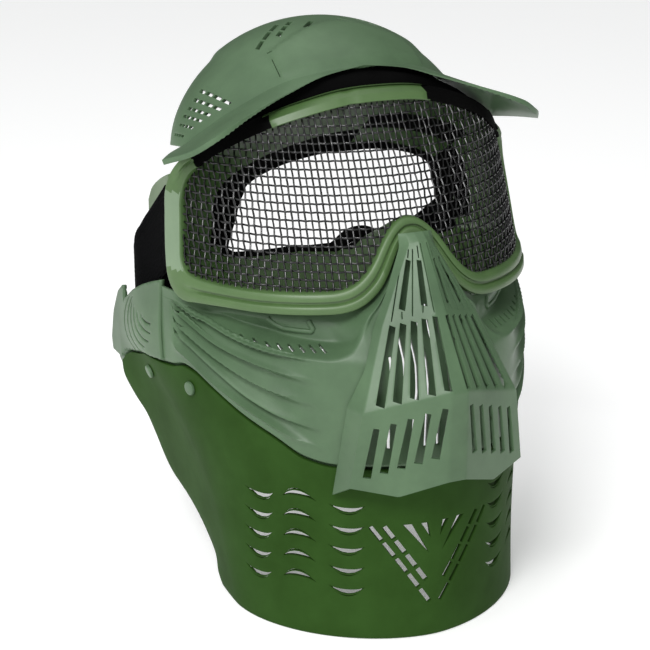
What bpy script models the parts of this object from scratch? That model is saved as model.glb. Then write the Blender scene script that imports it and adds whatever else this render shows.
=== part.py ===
"""Full-face airsoft mask: wire goggle, visor, cheek shell, mouth grille, ear guards and neck guard.

The mask stands on the flat rim of its neck guard at z = 0 and faces -Y. Sizes are in metres.
Heights, widths and depths in the tables are shares of the named sizes that they follow.
"""
import math

import bmesh
import bpy
from mathutils import Vector
from mathutils.bvhtree import BVHTree

for old in list(bpy.data.objects):
    bpy.data.objects.remove(old, do_unlink=True)

# Driving sizes of the neck guard and the cheek shell
CHEEK_HALF = 0.0960          # half width of the mask at the ears
CHIN_REACH = 0.1250          # from the mask's upright middle plane forward to the guard's front
GUARD_HEIGHT = 0.1170        # rim to the highest point of the guard's top edge
EAR_REACH = 0.0600           # from the middle plane back to the rear of the ear guard
RUBBER_WALL = 0.0020
SHELL_WALL = 0.0022
FIT_GAP = 0.0004             # between pieces that touch

# Driving sizes of the goggle
LENS_HALF = 0.0960
LENS_REACH = 0.1015          # forward reach of the lens at its bottom edge
LENS_BOTTOM = 0.1635
LENS_HEIGHT = 0.0800
LENS_WIRE = 0.0010
FRAME_BAND = 0.0098
FRAME_LIP = 0.0042
FRAME_WALL = 0.0020
FOAM_HALF = 0.0640
FOAM_DEPTH = 0.0090
FOAM_WIDTH = 0.0080
FOAM_BEHIND = 0.0300         # foam seat forward of the mask's middle plane

# Driving sizes of the visor
CROWN_HALF = 0.0775
CROWN_DEPTH = 0.0850
CROWN_RISE = 0.0770
VISOR_SEAT = 0.40625         # level of the crown's widest place, as a share of the lens's height
CROWN_BASE = LENS_BOTTOM + VISOR_SEAT * LENS_HEIGHT
BRIM_HALF = 0.0980
BRIM_REACH = 0.0580
BRIM_LIFT = 0.0633           # brim's front edge above the crown's widest level
BRIM_DROP = 0.0357
VISOR_WALL = 0.0024
VISOR_LEAN = math.radians(1.5)
VISOR_SHIFT = -0.0033        # the visor is clipped on a little to the wearer's right

# Driving sizes of the grille, the strap and the fasteners
GRILLE_STAND = 0.0190        # how far the grille's ridge stands forward of the chin
GRILLE_REACH = CHIN_REACH + GRILLE_STAND
GRILLE_HALF = 0.0444
GRILLE_KNEE = 0.1277
GRILLE_WALL = 0.0018
STRAP_WIDTH = 0.0400
STRAP_WALL = 0.0016
STRAP_BACK = 0.1080
RIVET_RADIUS = 0.0034
RIVET_HEIGHT = 0.0016

# The origin lies under the middle of the box that holds the whole mask
MIDDLE_SHIFT = (GRILLE_REACH - STRAP_BACK) / 2


def spread(table, key, column):
    """Smooth value of one table column at a key in the table's first column."""
    rows = sorted(table)
    if key <= rows[0][0]:
        return rows[0][column]
    if key >= rows[-1][0]:
        return rows[-1][column]
    index = max(i for i, row in enumerate(rows) if row[0] <= key)
    here, after = rows[index], rows[index + 1]
    before = rows[index - 1] if index else here
    beyond = rows[index + 2] if index + 2 < len(rows) else after
    span = after[0] - here[0]
    share = (key - here[0]) / span
    slope = (after[column] - here[column]) / span
    slope_in = slope if before is here else (here[column] - before[column]) / (here[0] - before[0])
    slope_out = slope if beyond is after else (beyond[column] - after[column]) / (beyond[0] - after[0])
    start = 0.0 if slope * slope_in <= 0 else 2 * slope * slope_in / (slope + slope_in)
    end = 0.0 if slope * slope_out <= 0 else 2 * slope * slope_out / (slope + slope_out)
    square, cube = share * share, share ** 3
    return ((2 * cube - 3 * square + 1) * here[column] + (cube - 2 * square + share) * span * start
            + (3 * square - 2 * cube) * after[column] + (cube - square) * span * end)


def plastic(name, colour, roughness):
    """Principled material from an sRGB colour."""
    material = bpy.data.materials.new(name)
    material.use_nodes = True
    shader = material.node_tree.nodes["Principled BSDF"]
    linear = [((c + 0.055) / 1.055) ** 2.4 for c in colour]
    shader.inputs["Base Color"].default_value = (*linear, 1.0)
    shader.inputs["Roughness"].default_value = roughness
    shader.inputs["Metallic"].default_value = 0.0
    return material


SATIN_GREEN = plastic("satin_green_plastic", (0.42, 0.50, 0.41), 0.45)
FRAME_GREEN = plastic("goggle_green_plastic", (0.34, 0.46, 0.28), 0.45)
RUBBER_GREEN = plastic("green_rubber", (0.22, 0.35, 0.16), 0.55)
BLACK_WIRE = plastic("black_wire", (0.05, 0.05, 0.05), 0.40)
BLACK_FOAM = plastic("black_foam", (0.03, 0.03, 0.03), 0.90)
BLACK_WEBBING = plastic("black_elastic", (0.04, 0.04, 0.04), 0.85)


def add_piece(name, mesh, material, sharp=30):
    """Link a mesh as a named, smooth-shaded object, moved to the shared origin."""
    mesh.materials.append(material)
    for vertex in mesh.vertices:
        vertex.co.y += MIDDLE_SHIFT
    mesh.shade_smooth()
    mesh.set_sharp_from_angle(angle=math.radians(sharp))
    piece = bpy.data.objects.new(name, mesh)
    bpy.context.scene.collection.objects.link(piece)
    return piece


def skin(rows, closed=False):
    """Mesh of quads through rows of points that all have the same count."""
    sheet = bmesh.new()
    grid = [[sheet.verts.new(point) for point in row] for row in rows]
    for lower, upper in zip(grid, grid[1:]):
        count = len(lower) if closed else len(lower) - 1
        for i in range(count):
            j = (i + 1) % len(lower)
            sheet.faces.new((lower[i], lower[j], upper[j], upper[i]))
    return sheet


def finish(sheet, name, material, sharp=30):
    mesh = bpy.data.meshes.new(name)
    sheet.normal_update()
    sheet.to_mesh(mesh)
    sheet.free()
    return add_piece(name, mesh, material, sharp)


def add_wall(piece, thickness):
    """Give an open skin its wall, inward from the modelled outer face."""
    solid = piece.modifiers.new("wall", "SOLIDIFY")
    solid.thickness = thickness
    solid.offset = -1.0
    solid.use_even_offset = True
    solid.thickness_clamp = 0.0
    return solid


class Cutters:
    """Collects straight prisms and cuts them all out of one piece."""

    def __init__(self, name):
        self.name = name
        self.sheet = bmesh.new()

    def add(self, outline, direction, depth):
        """Prism of an outline, from depth outside to depth inside along a direction."""
        reach = direction.normalized() * depth
        front = [self.sheet.verts.new(p + reach) for p in outline]
        back = [self.sheet.verts.new(p - reach) for p in outline]
        faces = [self.sheet.faces.new(front), self.sheet.faces.new(back[::-1])]
        for i in range(len(outline)):
            j = (i + 1) % len(outline)
            faces.append(self.sheet.faces.new((front[j], front[i], back[i], back[j])))
        bmesh.ops.recalc_face_normals(self.sheet, faces=faces)

    def cut(self, piece):
        mesh = bpy.data.meshes.new(self.name)
        self.sheet.to_mesh(mesh)
        self.sheet.free()
        for vertex in mesh.vertices:
            vertex.co.y += MIDDLE_SHIFT
        tool = bpy.data.objects.new(self.name, mesh)
        bpy.context.scene.collection.objects.link(tool)
        tool.hide_render = True
        tool.display_type = "WIRE"
        boolean = piece.modifiers.new(self.name, "BOOLEAN")
        boolean.operation = "DIFFERENCE"
        boolean.solver = "EXACT"
        boolean.object = tool


def strip(start, end, across, width_start, width_end):
    """Outline of a slot between two points, as wide as given at each end."""
    side = across.normalized()
    return [start - side * width_start / 2, start + side * width_start / 2,
            end + side * width_end / 2, end - side * width_end / 2]


def mirrored(point):
    return Vector((-point.x, point.y, point.z))


# Plan of the guard and cheeks: height, front reach, half width, level of widest point, roundness
PLAN = [
    # height  front   half   widest  roundness
    (0.000,   1.000,  0.766, -0.455, 1.80),
    (0.256,   0.995,  0.792, -0.367, 1.85),
    (0.513,   0.990,  0.833, -0.272, 1.90),
    (0.769,   0.992,  0.911, -0.096, 1.95),
    (1.000,   0.998,  0.990,  0.120, 2.00),
    (1.154,   0.976,  0.995,  0.120, 2.00),
    (1.250,   0.912,  0.995,  0.120, 2.00),
    (1.393,   0.860,  0.995,  0.120, 2.00),
    (1.521,   0.804,  0.995,  0.120, 2.00),
    (1.624,   0.772,  0.995,  0.120, 2.00),
]

# Rear edge of the guard: height, half width, place behind the middle plane
REAR = [
    # height  half    back
    (0.000,   0.758, -0.288),
    (0.043,   0.758, -0.240),
    (0.103,   0.759, -0.227),
    (0.188,   0.769, -0.144),
    (0.265,   0.786, -0.040),
    (0.308,   0.797,  0.064),
    (0.342,   0.807,  0.176),
    (0.427,   0.833,  0.240),
    (0.513,   0.865,  0.256),
    (0.600,   0.901,  0.275),
    (0.667,   0.938,  0.327),
    (0.769,   0.979,  0.375),
    (0.889,   0.993,  0.351),
    (1.000,   0.998,  0.335),
]

# Top edge of the guard: share of the way round from the chin, height
TOP_EDGE = [
    (0.000, 0.726), (0.245, 0.729), (0.310, 0.750), (0.360, 0.807), (0.416, 0.866),
    (0.480, 0.954), (0.520, 0.995), (0.545, 1.000), (0.580, 0.975), (0.680, 0.947),
    (0.830, 0.910), (0.920, 0.889), (0.970, 0.862), (1.000, 0.820),
]

FRONT_SHARE = 0.70           # of the way round, where the plan is widest


def hull(height, along, inset=0.0):
    """Point on the outer face at a height, a share of the way round, set in by a distance."""
    level = height / GUARD_HEIGHT
    front = -CHIN_REACH * spread(PLAN, level, 1)
    half = CHEEK_HALF * spread(PLAN, level, 2)
    widest = CHIN_REACH * spread(PLAN, level, 3)
    power = 2 / spread(PLAN, level, 4)
    if along <= FRONT_SHARE:
        turn = along / FRONT_SHARE * math.pi / 2
        x = half * math.sin(turn) ** power
        y = widest - (widest - front) * math.cos(turn) ** power
        out = Vector((math.sin(turn) * (widest - front), -math.cos(turn) * half, 0)).normalized()
    else:
        way = (along - FRONT_SHARE) / (1 - FRONT_SHARE)
        x = half + (CHEEK_HALF * spread(REAR, level, 1) - half) * way ** 2
        y = widest + (CHIN_REACH * spread(REAR, level, 2) - widest) * way
        out = Vector((1, 0, 0))
    return Vector((x, y, height)) - out * inset


def hull_facing(height, along):
    """Unit vector straight out of the hull."""
    step = 0.002
    side = hull(height, min(along + step, 1)) - hull(height, max(along - step, 0))
    rise = hull(height + 0.001, along) - hull(height - 0.001, along)
    return side.cross(rise).normalized()


def both_sides(right_half):
    """Full row from the far right round the front to the far left."""
    return [mirrored(p) for p in right_half[::-1]] + right_half[1:]


def along_for_x(height, x):
    """Share of the way round the front at which the hull has a given half width."""
    low, high = 0.0, FRONT_SHARE
    for _ in range(30):
        middle = (low + high) / 2
        if hull(height, middle).x < x:
            low = middle
        else:
            high = middle
    return low


def along_for_back(height, back):
    """Share of the way round at which the hull reaches a place along the head."""
    low, high = 0.2, 1.0
    for _ in range(30):
        middle = (low + high) / 2
        if hull(height, middle).y < back:
            low = middle
        else:
            high = middle
    return low


# Neck guard: moulded rubber bib, flat on its rim
GUARD_LEVELS = [0.103, 0.188, 0.265, 0.342, 0.427, 0.55, 0.667]
RIM_RISE = 0.0026            # the rim's lowest band stands upright, so that its underside is flat
SHELL_STEPS = [0, 0.06, 0.115, 0.16, 0.20, 0.245, 0.29, 0.335, 0.38, 0.42, 0.46, 0.50, 0.54, 0.57, 0.61]
GUARD_STEPS = SHELL_STEPS + [0.68, 0.76, 0.84, 0.92, 1.0]


def guard_top(along):
    return GUARD_HEIGHT * spread(TOP_EDGE, along, 1)


rim = [hull(0, s) for s in GUARD_STEPS]
guard_rows = [both_sides(rim), both_sides([p + Vector((0, 0, RIM_RISE)) for p in rim])]
for level in GUARD_LEVELS:
    guard_rows.append(both_sides([hull(level * GUARD_HEIGHT, s) for s in GUARD_STEPS]))
for share in (0.5, 1.0):
    row = []
    for s in GUARD_STEPS:
        start = GUARD_LEVELS[-1] * GUARD_HEIGHT
        row.append(hull(start + (guard_top(s) - start) * share, s))
    guard_rows.append(both_sides(row))
neck_guard = finish(skin(guard_rows), "neck_guard", RUBBER_GREEN, 40)
add_wall(neck_guard, RUBBER_WALL)

# Crescent slots: place round the guard, whether the curve hangs down or arches up
CRESCENT_COLUMNS = [(0.0394, 1), (0.0565, -1), (0.0694, 1)]
CRESCENT_ROWS = 5
CRESCENT_PITCH = 0.0103
CRESCENT_TOP = 0.0675
CRESCENT_WIDTH = 0.0170
CRESCENT_SAG = 0.0040
CRESCENT_OPEN = 0.0030
guard_cuts = Cutters("guard_slots")
for column, hang in CRESCENT_COLUMNS:
    for row in range(CRESCENT_ROWS):
        height = CRESCENT_TOP - row * CRESCENT_PITCH
        along = along_for_x(height, column)
        out = hull_facing(height, along)
        side = Vector((0, 0, 1)).cross(out).normalized()
        for sign in (1, -1):
            outline = []
            for share in (-1, -0.45, 0.45, 1):
                sag = CRESCENT_SAG * (1 - share * share)
                place = hull(height, along) + side * share * CRESCENT_WIDTH / 2
                outline.append(place + Vector((0, 0, -hang * sag)))
            for share in (0.5, -0.5):
                place = hull(height, along) + side * share * CRESCENT_WIDTH / 2
                sag = CRESCENT_SAG * (1 - share * share) - CRESCENT_OPEN * (1 - 0.4 * share * share)
                outline.append(place + Vector((0, 0, -hang * sag)))
            facing = out
            if sign < 0:
                outline = [mirrored(p) for p in outline]
                facing = mirrored(out)
            guard_cuts.add(outline, facing, 0.006)

# V pattern under the grille: dashes along two slanting lines each side, and a fan of wedges
V_TOP = 0.0575
V_LINES = [
    # top half width, tip half width, tip height, slot width, dashes
    (0.0304, 0.0022, 0.0165, 0.0020, 4),
    (0.0245, 0.0042, 0.0280, 0.0022, 3),
]
DASH_BRIDGE = 0.16           # share of each dash left as a bridge
for top_half, tip_half, tip_height, width, dashes in V_LINES:
    for sign in (1, -1):
        start = Vector((sign * top_half, 0, V_TOP))
        end = Vector((sign * tip_half, 0, tip_height))
        across = (end - start).cross(Vector((0, 1, 0)))
        for dash in range(dashes):
            low = start.lerp(end, (dash + DASH_BRIDGE / 2) / dashes)
            high = start.lerp(end, (dash + 1 - DASH_BRIDGE / 2) / dashes)
            front = Vector((0, -CHIN_REACH, 0))
            guard_cuts.add(strip(low + front, high + front, across, width, width),
                           Vector((0, 1, 0)), 0.014)
FAN_WEDGES = [
    # top inner x, top outer x, tip x, tip height
    (0.0118, 0.0160, 0.0033, 0.0423),
    (0.0038, 0.0072, 0.0024, 0.0497),
]
for inner, outer, tip, tip_height in FAN_WEDGES:
    for sign in (1, -1):
        outline = [Vector((sign * inner, -CHIN_REACH, V_TOP)), Vector((sign * outer, -CHIN_REACH, V_TOP)),
                   Vector((sign * tip, -CHIN_REACH, tip_height))]
        guard_cuts.add(outline, Vector((0, 1, 0)), 0.014)
guard_cuts.cut(neck_guard)

# Goggle: the lens lies on a leaning, curved surface, given by height, reach, middle and half width
LENS_PLAN = [
    # height   reach  middle  half
    (-0.30,    1.064, 0.050,  1.012),
    (0.00,     1.000, 0.103,  1.000),
    (0.37,     0.887, 0.172,  0.977),
    (0.69,     0.764, 0.231,  0.958),
    (1.10,     0.571, 0.296,  0.938),
]


def lens_point(turn, height, out=0.0):
    """Point at a turn in degrees from the front, set forward of the wire screen by a distance."""
    level = (height - LENS_BOTTOM) / LENS_HEIGHT
    front = -LENS_REACH * spread(LENS_PLAN, level, 1)
    middle = LENS_REACH * spread(LENS_PLAN, level, 2)
    half = LENS_HALF * spread(LENS_PLAN, level, 3)
    angle = math.radians(turn)
    flat = Vector((half * math.sin(angle), middle - (middle - front) * math.cos(angle), height))
    facing = Vector(((middle - front) * math.sin(angle), -half * math.cos(angle), 0)).normalized()
    return flat + facing * out


# Edge of the lens opening from the brow round the side to the nose: turn, height share, band share
LENS_EDGE = [
    # turn   height   band
    (0.0,    1.000,   0.68), (12.0,  0.985,  0.68), (25.0,  0.925,  0.66), (37.0,  0.845,  0.62),
    (48.0,   0.745,   0.62), (57.0,  0.640,  0.72), (62.5,  0.530,  0.86), (64.6,  0.430,  0.86),
    (65.2,   0.310,   0.86), (65.6,  0.190,  0.86), (65.8,  0.090,  0.90), (64.6,  0.025,  0.95),
    (61.0,   0.003,   1.00), (52.0,  -0.003, 1.00), (43.0,  -0.003, 1.00), (34.0,  0.003,  1.00),
    (27.0,   0.010,   1.00), (22.5,  0.018,  1.00), (19.0,  0.038,  1.00), (16.2,  0.072,  0.98),
    (13.6,   0.122,   0.95), (11.4,  0.182,  0.90), (9.6,   0.240,  0.86), (7.6,   0.298,  0.82),
    (5.2,    0.350,   0.78), (2.6,   0.385,  0.76), (0.0,   0.395,  0.75),
]
ROUND_SCALE = 0.00192        # metres along the lens for one degree of turn


def edge_loop():
    """Closed run of (turn, height, band) round the whole lens opening."""
    half = [(t, LENS_BOTTOM + h * LENS_HEIGHT, b * FRAME_BAND) for t, h, b in LENS_EDGE]
    return half + [(-t, h, b) for t, h, b in half[-2:0:-1]]


def outer_edge(loop, share=1.0):
    """The same run moved outward by a share of the band."""
    moved = []
    count = len(loop)
    for i, (turn, height, band) in enumerate(loop):
        before, after = loop[i - 1], loop[(i + 1) % count]
        along = Vector(((after[0] - before[0]) * ROUND_SCALE, after[1] - before[1]))
        out = Vector((-along.y, along.x)).normalized()
        moved.append((turn + out.x * band * share / ROUND_SCALE, height + out.y * band * share))
    return moved


EDGE = edge_loop()
BAND_EDGE = outer_edge(EDGE)
WALL_EDGE = outer_edge(EDGE, 0.25)
FOAM_LIFT = 0.0012           # foam seat above the lens bottom
FOAM_SHARE = 0.66            # height of the foam seat against the lens
NOSE_SHARE = 0.28            # the same for the arch over the nose
NOSE_FORWARD = 0.0160        # the seat comes forward over the nose


def seat_point(turn, height, grow, back):
    """Point round the foam seat behind the lens, grown outward and set back."""
    flat = lens_point(turn, height)
    shrink = FOAM_HALF / (LENS_HALF * math.sin(math.radians(65.8)))
    x = flat.x * shrink
    nose = min(max((22 - abs(turn)) / 10, 0), 1) if height < LENS_BOTTOM + 0.5 * LENS_HEIGHT else 0
    share = FOAM_SHARE + (NOSE_SHARE - FOAM_SHARE) * nose
    z = LENS_BOTTOM + FOAM_LIFT + (height - LENS_BOTTOM) * share
    away = (Vector((x, 0, z - LENS_BOTTOM - 0.36 * LENS_HEIGHT))).normalized()
    away = away.lerp(Vector((0.35 * x, 0, -0.03)).normalized(), min(nose * 2, 1)).normalized()
    spot = Vector((x, 0, z)) + away * grow
    depth = -FOAM_BEHIND + 0.010 * (x / FOAM_HALF) ** 2 - NOSE_FORWARD * nose
    return Vector((spot.x, depth + back, spot.z))


LIP_FRONT = 0.0026
LENS_REBATE = -0.0012        # the tunnel starts to close in behind the lens
lip_back = LIP_FRONT - FRAME_LIP
frame_rows = [
    [lens_point(t, h, LIP_FRONT) for t, h, b in EDGE],
    [lens_point(t, h, LIP_FRONT) for t, h in BAND_EDGE],
    [lens_point(t, h, lip_back) for t, h in BAND_EDGE],
    [lens_point(t, h, lip_back) for t, h in WALL_EDGE],
    [seat_point(t, h, FRAME_WALL, 0) for t, h, b in EDGE],
    [seat_point(t, h, 0, 0) for t, h, b in EDGE],
    [lens_point(t, h, LENS_REBATE) for t, h, b in EDGE],
]
frame_sheet = skin(frame_rows + [frame_rows[0]], closed=True)
bmesh.ops.remove_doubles(frame_sheet, verts=frame_sheet.verts, dist=1e-6)
bmesh.ops.recalc_face_normals(frame_sheet, faces=frame_sheet.faces)
goggle_frame = finish(frame_sheet, "goggle_frame", FRAME_GREEN, 35)

# Wire screen, a thin curved sheet set inside the frame's edge


SCREEN_TURN = 63.8
SCREEN_BANDS = 2
SIDE_CORNER = 10             # row of the edge table at the lens's lower side corner


def straight(table, key):
    """Value between the rows of a two-column table, in straight steps."""
    for (key_a, value_a), (key_b, value_b) in zip(table, table[1:]):
        if key <= key_b:
            return value_a + (value_b - value_a) * max(key - key_a, 0) / (key_b - key_a)
    return table[-1][1]


HALF_EDGE = EDGE[:len(LENS_EDGE)]
EDGE_ABOVE = sorted((t, h) for t, h, b in HALF_EDGE[:8])
EDGE_BELOW = sorted((t, h) for t, h, b in HALF_EDGE[SIDE_CORNER + 1:])
EDGE_BESIDE = sorted((h, t) for t, h, b in HALF_EDGE[6:SIDE_CORNER + 2])
screen_rows = [[] for _ in range(SCREEN_BANDS + 1)]
for turn in [t for t, h in EDGE_BELOW if t < SCREEN_TURN - 1] + [SCREEN_TURN]:
    low = straight(EDGE_BELOW, turn) + FIT_GAP * 2.5
    high = straight(EDGE_ABOVE, turn) - FIT_GAP * 2.5
    for i in range(SCREEN_BANDS + 1):
        height = low + (high - low) * i / SCREEN_BANDS
        side = straight(EDGE_BESIDE, height) - 0.45 if turn == SCREEN_TURN else turn
        screen_rows[i].append(lens_point(side, height, LENS_WIRE / 2))
mesh_lens = finish(skin([both_sides(row) for row in screen_rows]), "mesh_lens", BLACK_WIRE, 40)
add_wall(mesh_lens, LENS_WIRE)

# Foam ring behind the frame, thinner below the eyes than beside and above them
FOAM_EDGE = [row for i, row in enumerate(EDGE) if i % 2 == 0 or abs(row[0]) < 24 and row[1] < CROWN_BASE]


def foam_reach(height):
    """How far the foam stands into the opening past its seat."""
    level = (height - LENS_BOTTOM) / LENS_HEIGHT
    return FOAM_WIDTH * (0.2 + 0.4 * min(max((level - 0.05) / 0.3, 0), 1))


foam_rows = [
    [seat_point(t, h, FRAME_WALL * 0.5, FIT_GAP) for t, h, b in FOAM_EDGE],
    [seat_point(t, h, FRAME_WALL * 0.5, FOAM_DEPTH) for t, h, b in FOAM_EDGE],
    [seat_point(t, h, -foam_reach(h), FOAM_DEPTH) for t, h, b in FOAM_EDGE],
    [seat_point(t, h, -foam_reach(h), FIT_GAP) for t, h, b in FOAM_EDGE],
]
foam_sheet = skin(foam_rows + [foam_rows[0]], closed=True)
bmesh.ops.remove_doubles(foam_sheet, verts=foam_sheet.verts, dist=1e-6)
bmesh.ops.recalc_face_normals(foam_sheet, faces=foam_sheet.faces)
foam_pad = finish(foam_sheet, "foam_pad", BLACK_FOAM, 50)

# Face shell: rows run from the edge under the goggle down to the tuck behind the neck guard
# Crests of the cheek from the ledge down: share of the way round, height for each crest
CRESTS = [
    # round   ledge   crest1  crest2  crest3  crest4
    (0.000,   1.560,  1.060,  0.975,  0.880,  0.790),
    (0.070,   1.470,  1.062,  0.976,  0.880,  0.790),
    (0.115,   1.330,  1.066,  0.978,  0.882,  0.792),
    (0.150,   1.235,  1.070,  0.980,  0.884,  0.794),
    (0.180,   1.190,  1.073,  0.983,  0.886,  0.796),
    (0.230,   1.166,  1.077,  0.986,  0.888,  0.798),
    (0.315,   1.172,  1.097,  1.007,  0.909,  0.838),
    (0.385,   1.188,  1.120,  1.041,  0.960,  0.904),
    (0.455,   1.222,  1.152,  1.091,  1.037,  0.974),
    (0.540,   1.290,  1.220,  1.162,  1.120,  1.061),
    (0.610,   1.328,  1.262,  1.205,  1.154,  1.095),
]
LEDGE_DEPTH = 0.0140
LOUVRE_DEPTH = 0.0036
LOUVRE_PROUD = 0.0008


def crest(along, index):
    return GUARD_HEIGHT * spread(CRESTS, along, index + 1)


def louvre_fade(along):
    """How deep the grooves are: none at the chin, full near the ear, closed at the rear band."""
    rise = min(max((along - 0.25) / 0.17, 0), 1)
    fall = min(max((0.575 - along) / 0.02, 0), 1)
    return (rise * rise * (3 - 2 * rise)) * fall


def ledge_inset(along):
    """How far the ledge under the goggle steps in."""
    rise = min(max((along - 0.13) / 0.08, 0), 1)
    fall = min(max((0.53 - along) / 0.16, 0), 1)
    return LEDGE_DEPTH * rise * fall


def band_foot(turn):
    """Height of the frame's lower outer edge at a turn in degrees."""
    count = len(LENS_EDGE)
    low = sorted(set((max(t, 0), h) for t, h in BAND_EDGE[10:count]))
    return spread(low, turn, 1)


SEAM_GAP = 0.0006
TUCK_INSET = RUBBER_WALL + 0.0009
TUCK_DEPTH = 0.0120
SHELL_REAR = -0.0146
SHELL_TURN = 0.54            # share of the way round from which the columns stand upright


def shell_point(height, along, inset=0.0):
    """Point of the shell's outer face, its last columns parallel to the upright rear edge."""
    if along <= SHELL_TURN:
        return hull(height, along, inset)
    way = (along - SHELL_TURN) / (SHELL_STEPS[-1] - SHELL_TURN)
    rear = along_for_back(height, SHELL_REAR)
    return hull(height, SHELL_TURN + (rear - SHELL_TURN) * way, inset)


def under_band(point):
    """Point on the shell's top edge, below the frame band and on the same upright line."""
    level = (LENS_BOTTOM - 0.01 - LENS_BOTTOM) / LENS_HEIGHT
    half = LENS_HALF * spread(LENS_PLAN, level, 3)
    turn = math.degrees(math.asin(min(point.x / half, 0.985)))
    nose = min(max((24 - turn) / 8, 0), 1)
    foot = lens_point(turn, band_foot(turn) - 0.0012, -0.0034 - 0.0022 * (1 - nose))
    return foot, lens_point(turn, band_foot(turn) + 0.0022, -0.0042 - 0.0020 * (1 - nose))


shell_rows = [[] for _ in range(15)]
for s in SHELL_STEPS:
    crest_points = [shell_point(crest(s, i), s) for i in range(5)]
    inset = ledge_inset(s)
    rear = min(max((s - 0.50) / 0.06, 0), 1)
    foot, top = under_band(hull(crest(s, 0), min(s, SHELL_TURN)))
    top = top.lerp(shell_point(1.305 * GUARD_HEIGHT, s), rear)
    foot = foot.lerp(shell_point(1.290 * GUARD_HEIGHT, s), rear)
    ledge = shell_point(crest(s, 0), s, inset)
    ledge.z = min(crest(s, 0) + 0.004, foot.z - 0.0015)
    crest_points[0].z = min(crest_points[0].z, ledge.z - 0.0015)
    column = [top, foot, ledge, crest_points[0]]
    for i in range(1, 5):
        middle = (crest(s, i - 1) + crest(s, i)) / 2
        middle = min(middle, (column[-1].z + crest(s, i)) / 2)
        column.append(shell_point(middle, s, LOUVRE_DEPTH * louvre_fade(s)))
        column.append(shell_point(crest(s, i), s, -LOUVRE_PROUD * louvre_fade(s)))
    seam = guard_top(s) + SEAM_GAP
    column.append(shell_point(seam + 0.0012, s))
    column.append(shell_point(seam + 0.0002, s, TUCK_INSET))
    column.append(shell_point(seam - TUCK_DEPTH, s, TUCK_INSET))
    for i, point in enumerate(column):
        shell_rows[i].append(point)
face_shell = finish(skin([both_sides(row) for row in shell_rows[::-1]]), "face_shell", SATIN_GREEN, 40)
add_wall(face_shell, SHELL_WALL)

# Slots through the ledge under the goggle, and the open heads of the cheek grooves
LEDGE_SLOTS = [
    # x, y at the goggle, y at the ledge's edge
    (0.0441, -0.0900, -0.0985),
    (0.0481, -0.0882, -0.0960),
    (0.0522, -0.0857, -0.0930),
    (0.0563, -0.0829, -0.0898),
    (0.0604, -0.0795, -0.0858),
    (0.0645, -0.0755, -0.0812),
    (0.0686, -0.0705, -0.0755),
    (0.0727, -0.0655, -0.0700),
]
LEDGE_SLOT = 0.0014
shell_cuts = Cutters("shell_slots")
for x, back, front in LEDGE_SLOTS:
    level = crest(along_for_x(GUARD_HEIGHT * 1.18, x), 0) + 0.0042
    for sign in (1, -1):
        start = Vector((sign * x, back, level))
        end = Vector((sign * x, front, level))
        shell_cuts.add(strip(start, end, Vector((1, 0, 0)), LEDGE_SLOT, LEDGE_SLOT),
                       Vector((0, 0, 1)), 0.0055)
# Breathing hole behind the grille: height, half width
MOUTH_HOLE = [(0.0960, 0.0220), (0.1300, 0.0200), (0.1580, 0.0080)]
outline = [Vector((-x, -CHIN_REACH * 0.86, z)) for z, x in MOUTH_HOLE]
outline += [Vector((x, -CHIN_REACH * 0.86, z)) for z, x in MOUTH_HOLE[::-1]]
shell_cuts.add(outline, Vector((0, 1, 0)), 0.022)
shell_cuts.cut(face_shell)

# Visor: a dome over the forehead with a flared brim
CROWN_CENTRE = Vector((0, -0.003, CROWN_BASE))

# Crease between brim and crown, and the crown's rear edge, as directions from the dome's middle
CREASE = [
    # side    x      y       z
    (0.00,    0.000, -0.600, 0.800),
    (0.40,    0.440, -0.500, 0.746),
    (0.60,    0.640, -0.420, 0.643),
    (0.80,    0.830, -0.270, 0.488),
    (1.00,    0.950, -0.060, 0.306),
]
CROWN_REAR = [
    # side    x      y       z
    (0.00,    0.000, 0.447,  0.894),
    (0.50,    0.560, 0.380,  0.736),
    (0.80,    0.850, 0.290,  0.440),
    (1.00,    0.948, 0.170,  0.270),
]
# Edge of the brim: side, share of its reach, share of its drop
BRIM_EDGE = [
    (0.00, 0.945, 0.01), (0.20, 0.945, 0.09), (0.40, 0.965, 0.260), (0.60, 1.045, 0.435),
    (0.80, 1.140, 0.640), (0.90, 1.060, 0.815), (1.00, 0.820, 0.980),
]
BRIM_CROWN = 0.0012
HOOD_SIDE = 0.40
HOOD_RISE = 0.0018


def dome(direction, out=0.0):
    """Point of the crown in a direction from the dome's middle."""
    unit = direction.normalized()
    reach = Vector((unit.x * (CROWN_HALF + out), unit.y * (CROWN_DEPTH + out), unit.z * (CROWN_RISE + out)))
    return CROWN_CENTRE + reach


def brim_point(side):
    a = abs(side)
    y = -BRIM_REACH * spread(BRIM_EDGE, a, 1)
    z = CROWN_BASE + BRIM_LIFT - BRIM_DROP * spread(BRIM_EDGE, a, 2)
    return Vector((BRIM_HALF * side, y, z))


def table_vector(table, side):
    a = abs(side)
    return Vector((math.copysign(spread(table, a, 1), side), spread(table, a, 2), spread(table, a, 3)))


def visor_point(side, back, out=0.0):
    """Point of the visor: back is -1 at the brim's edge, 0 at the crease, 1 at the rear edge."""
    start = table_vector(CREASE, side)
    if back <= 0:
        root = dome(start, out)
        edge = brim_point(side)
        share = -back
        flare = root.lerp(edge, share)
        flare.z += BRIM_CROWN * 4 * share * (1 - share) * side ** 2
        return flare
    end = table_vector(CROWN_REAR, side)
    return dome(start.lerp(end, back), out)


def leaned(point):
    """The visor sits a little askew on its clips, turned about the line of sight of the mask."""
    z = point.z - CROWN_BASE
    x = point.x * math.cos(VISOR_LEAN) - z * math.sin(VISOR_LEAN)
    rise = point.x * math.sin(VISOR_LEAN) + z * math.cos(VISOR_LEAN)
    return Vector((x + VISOR_SHIFT, point.y, CROWN_BASE + rise))


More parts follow.
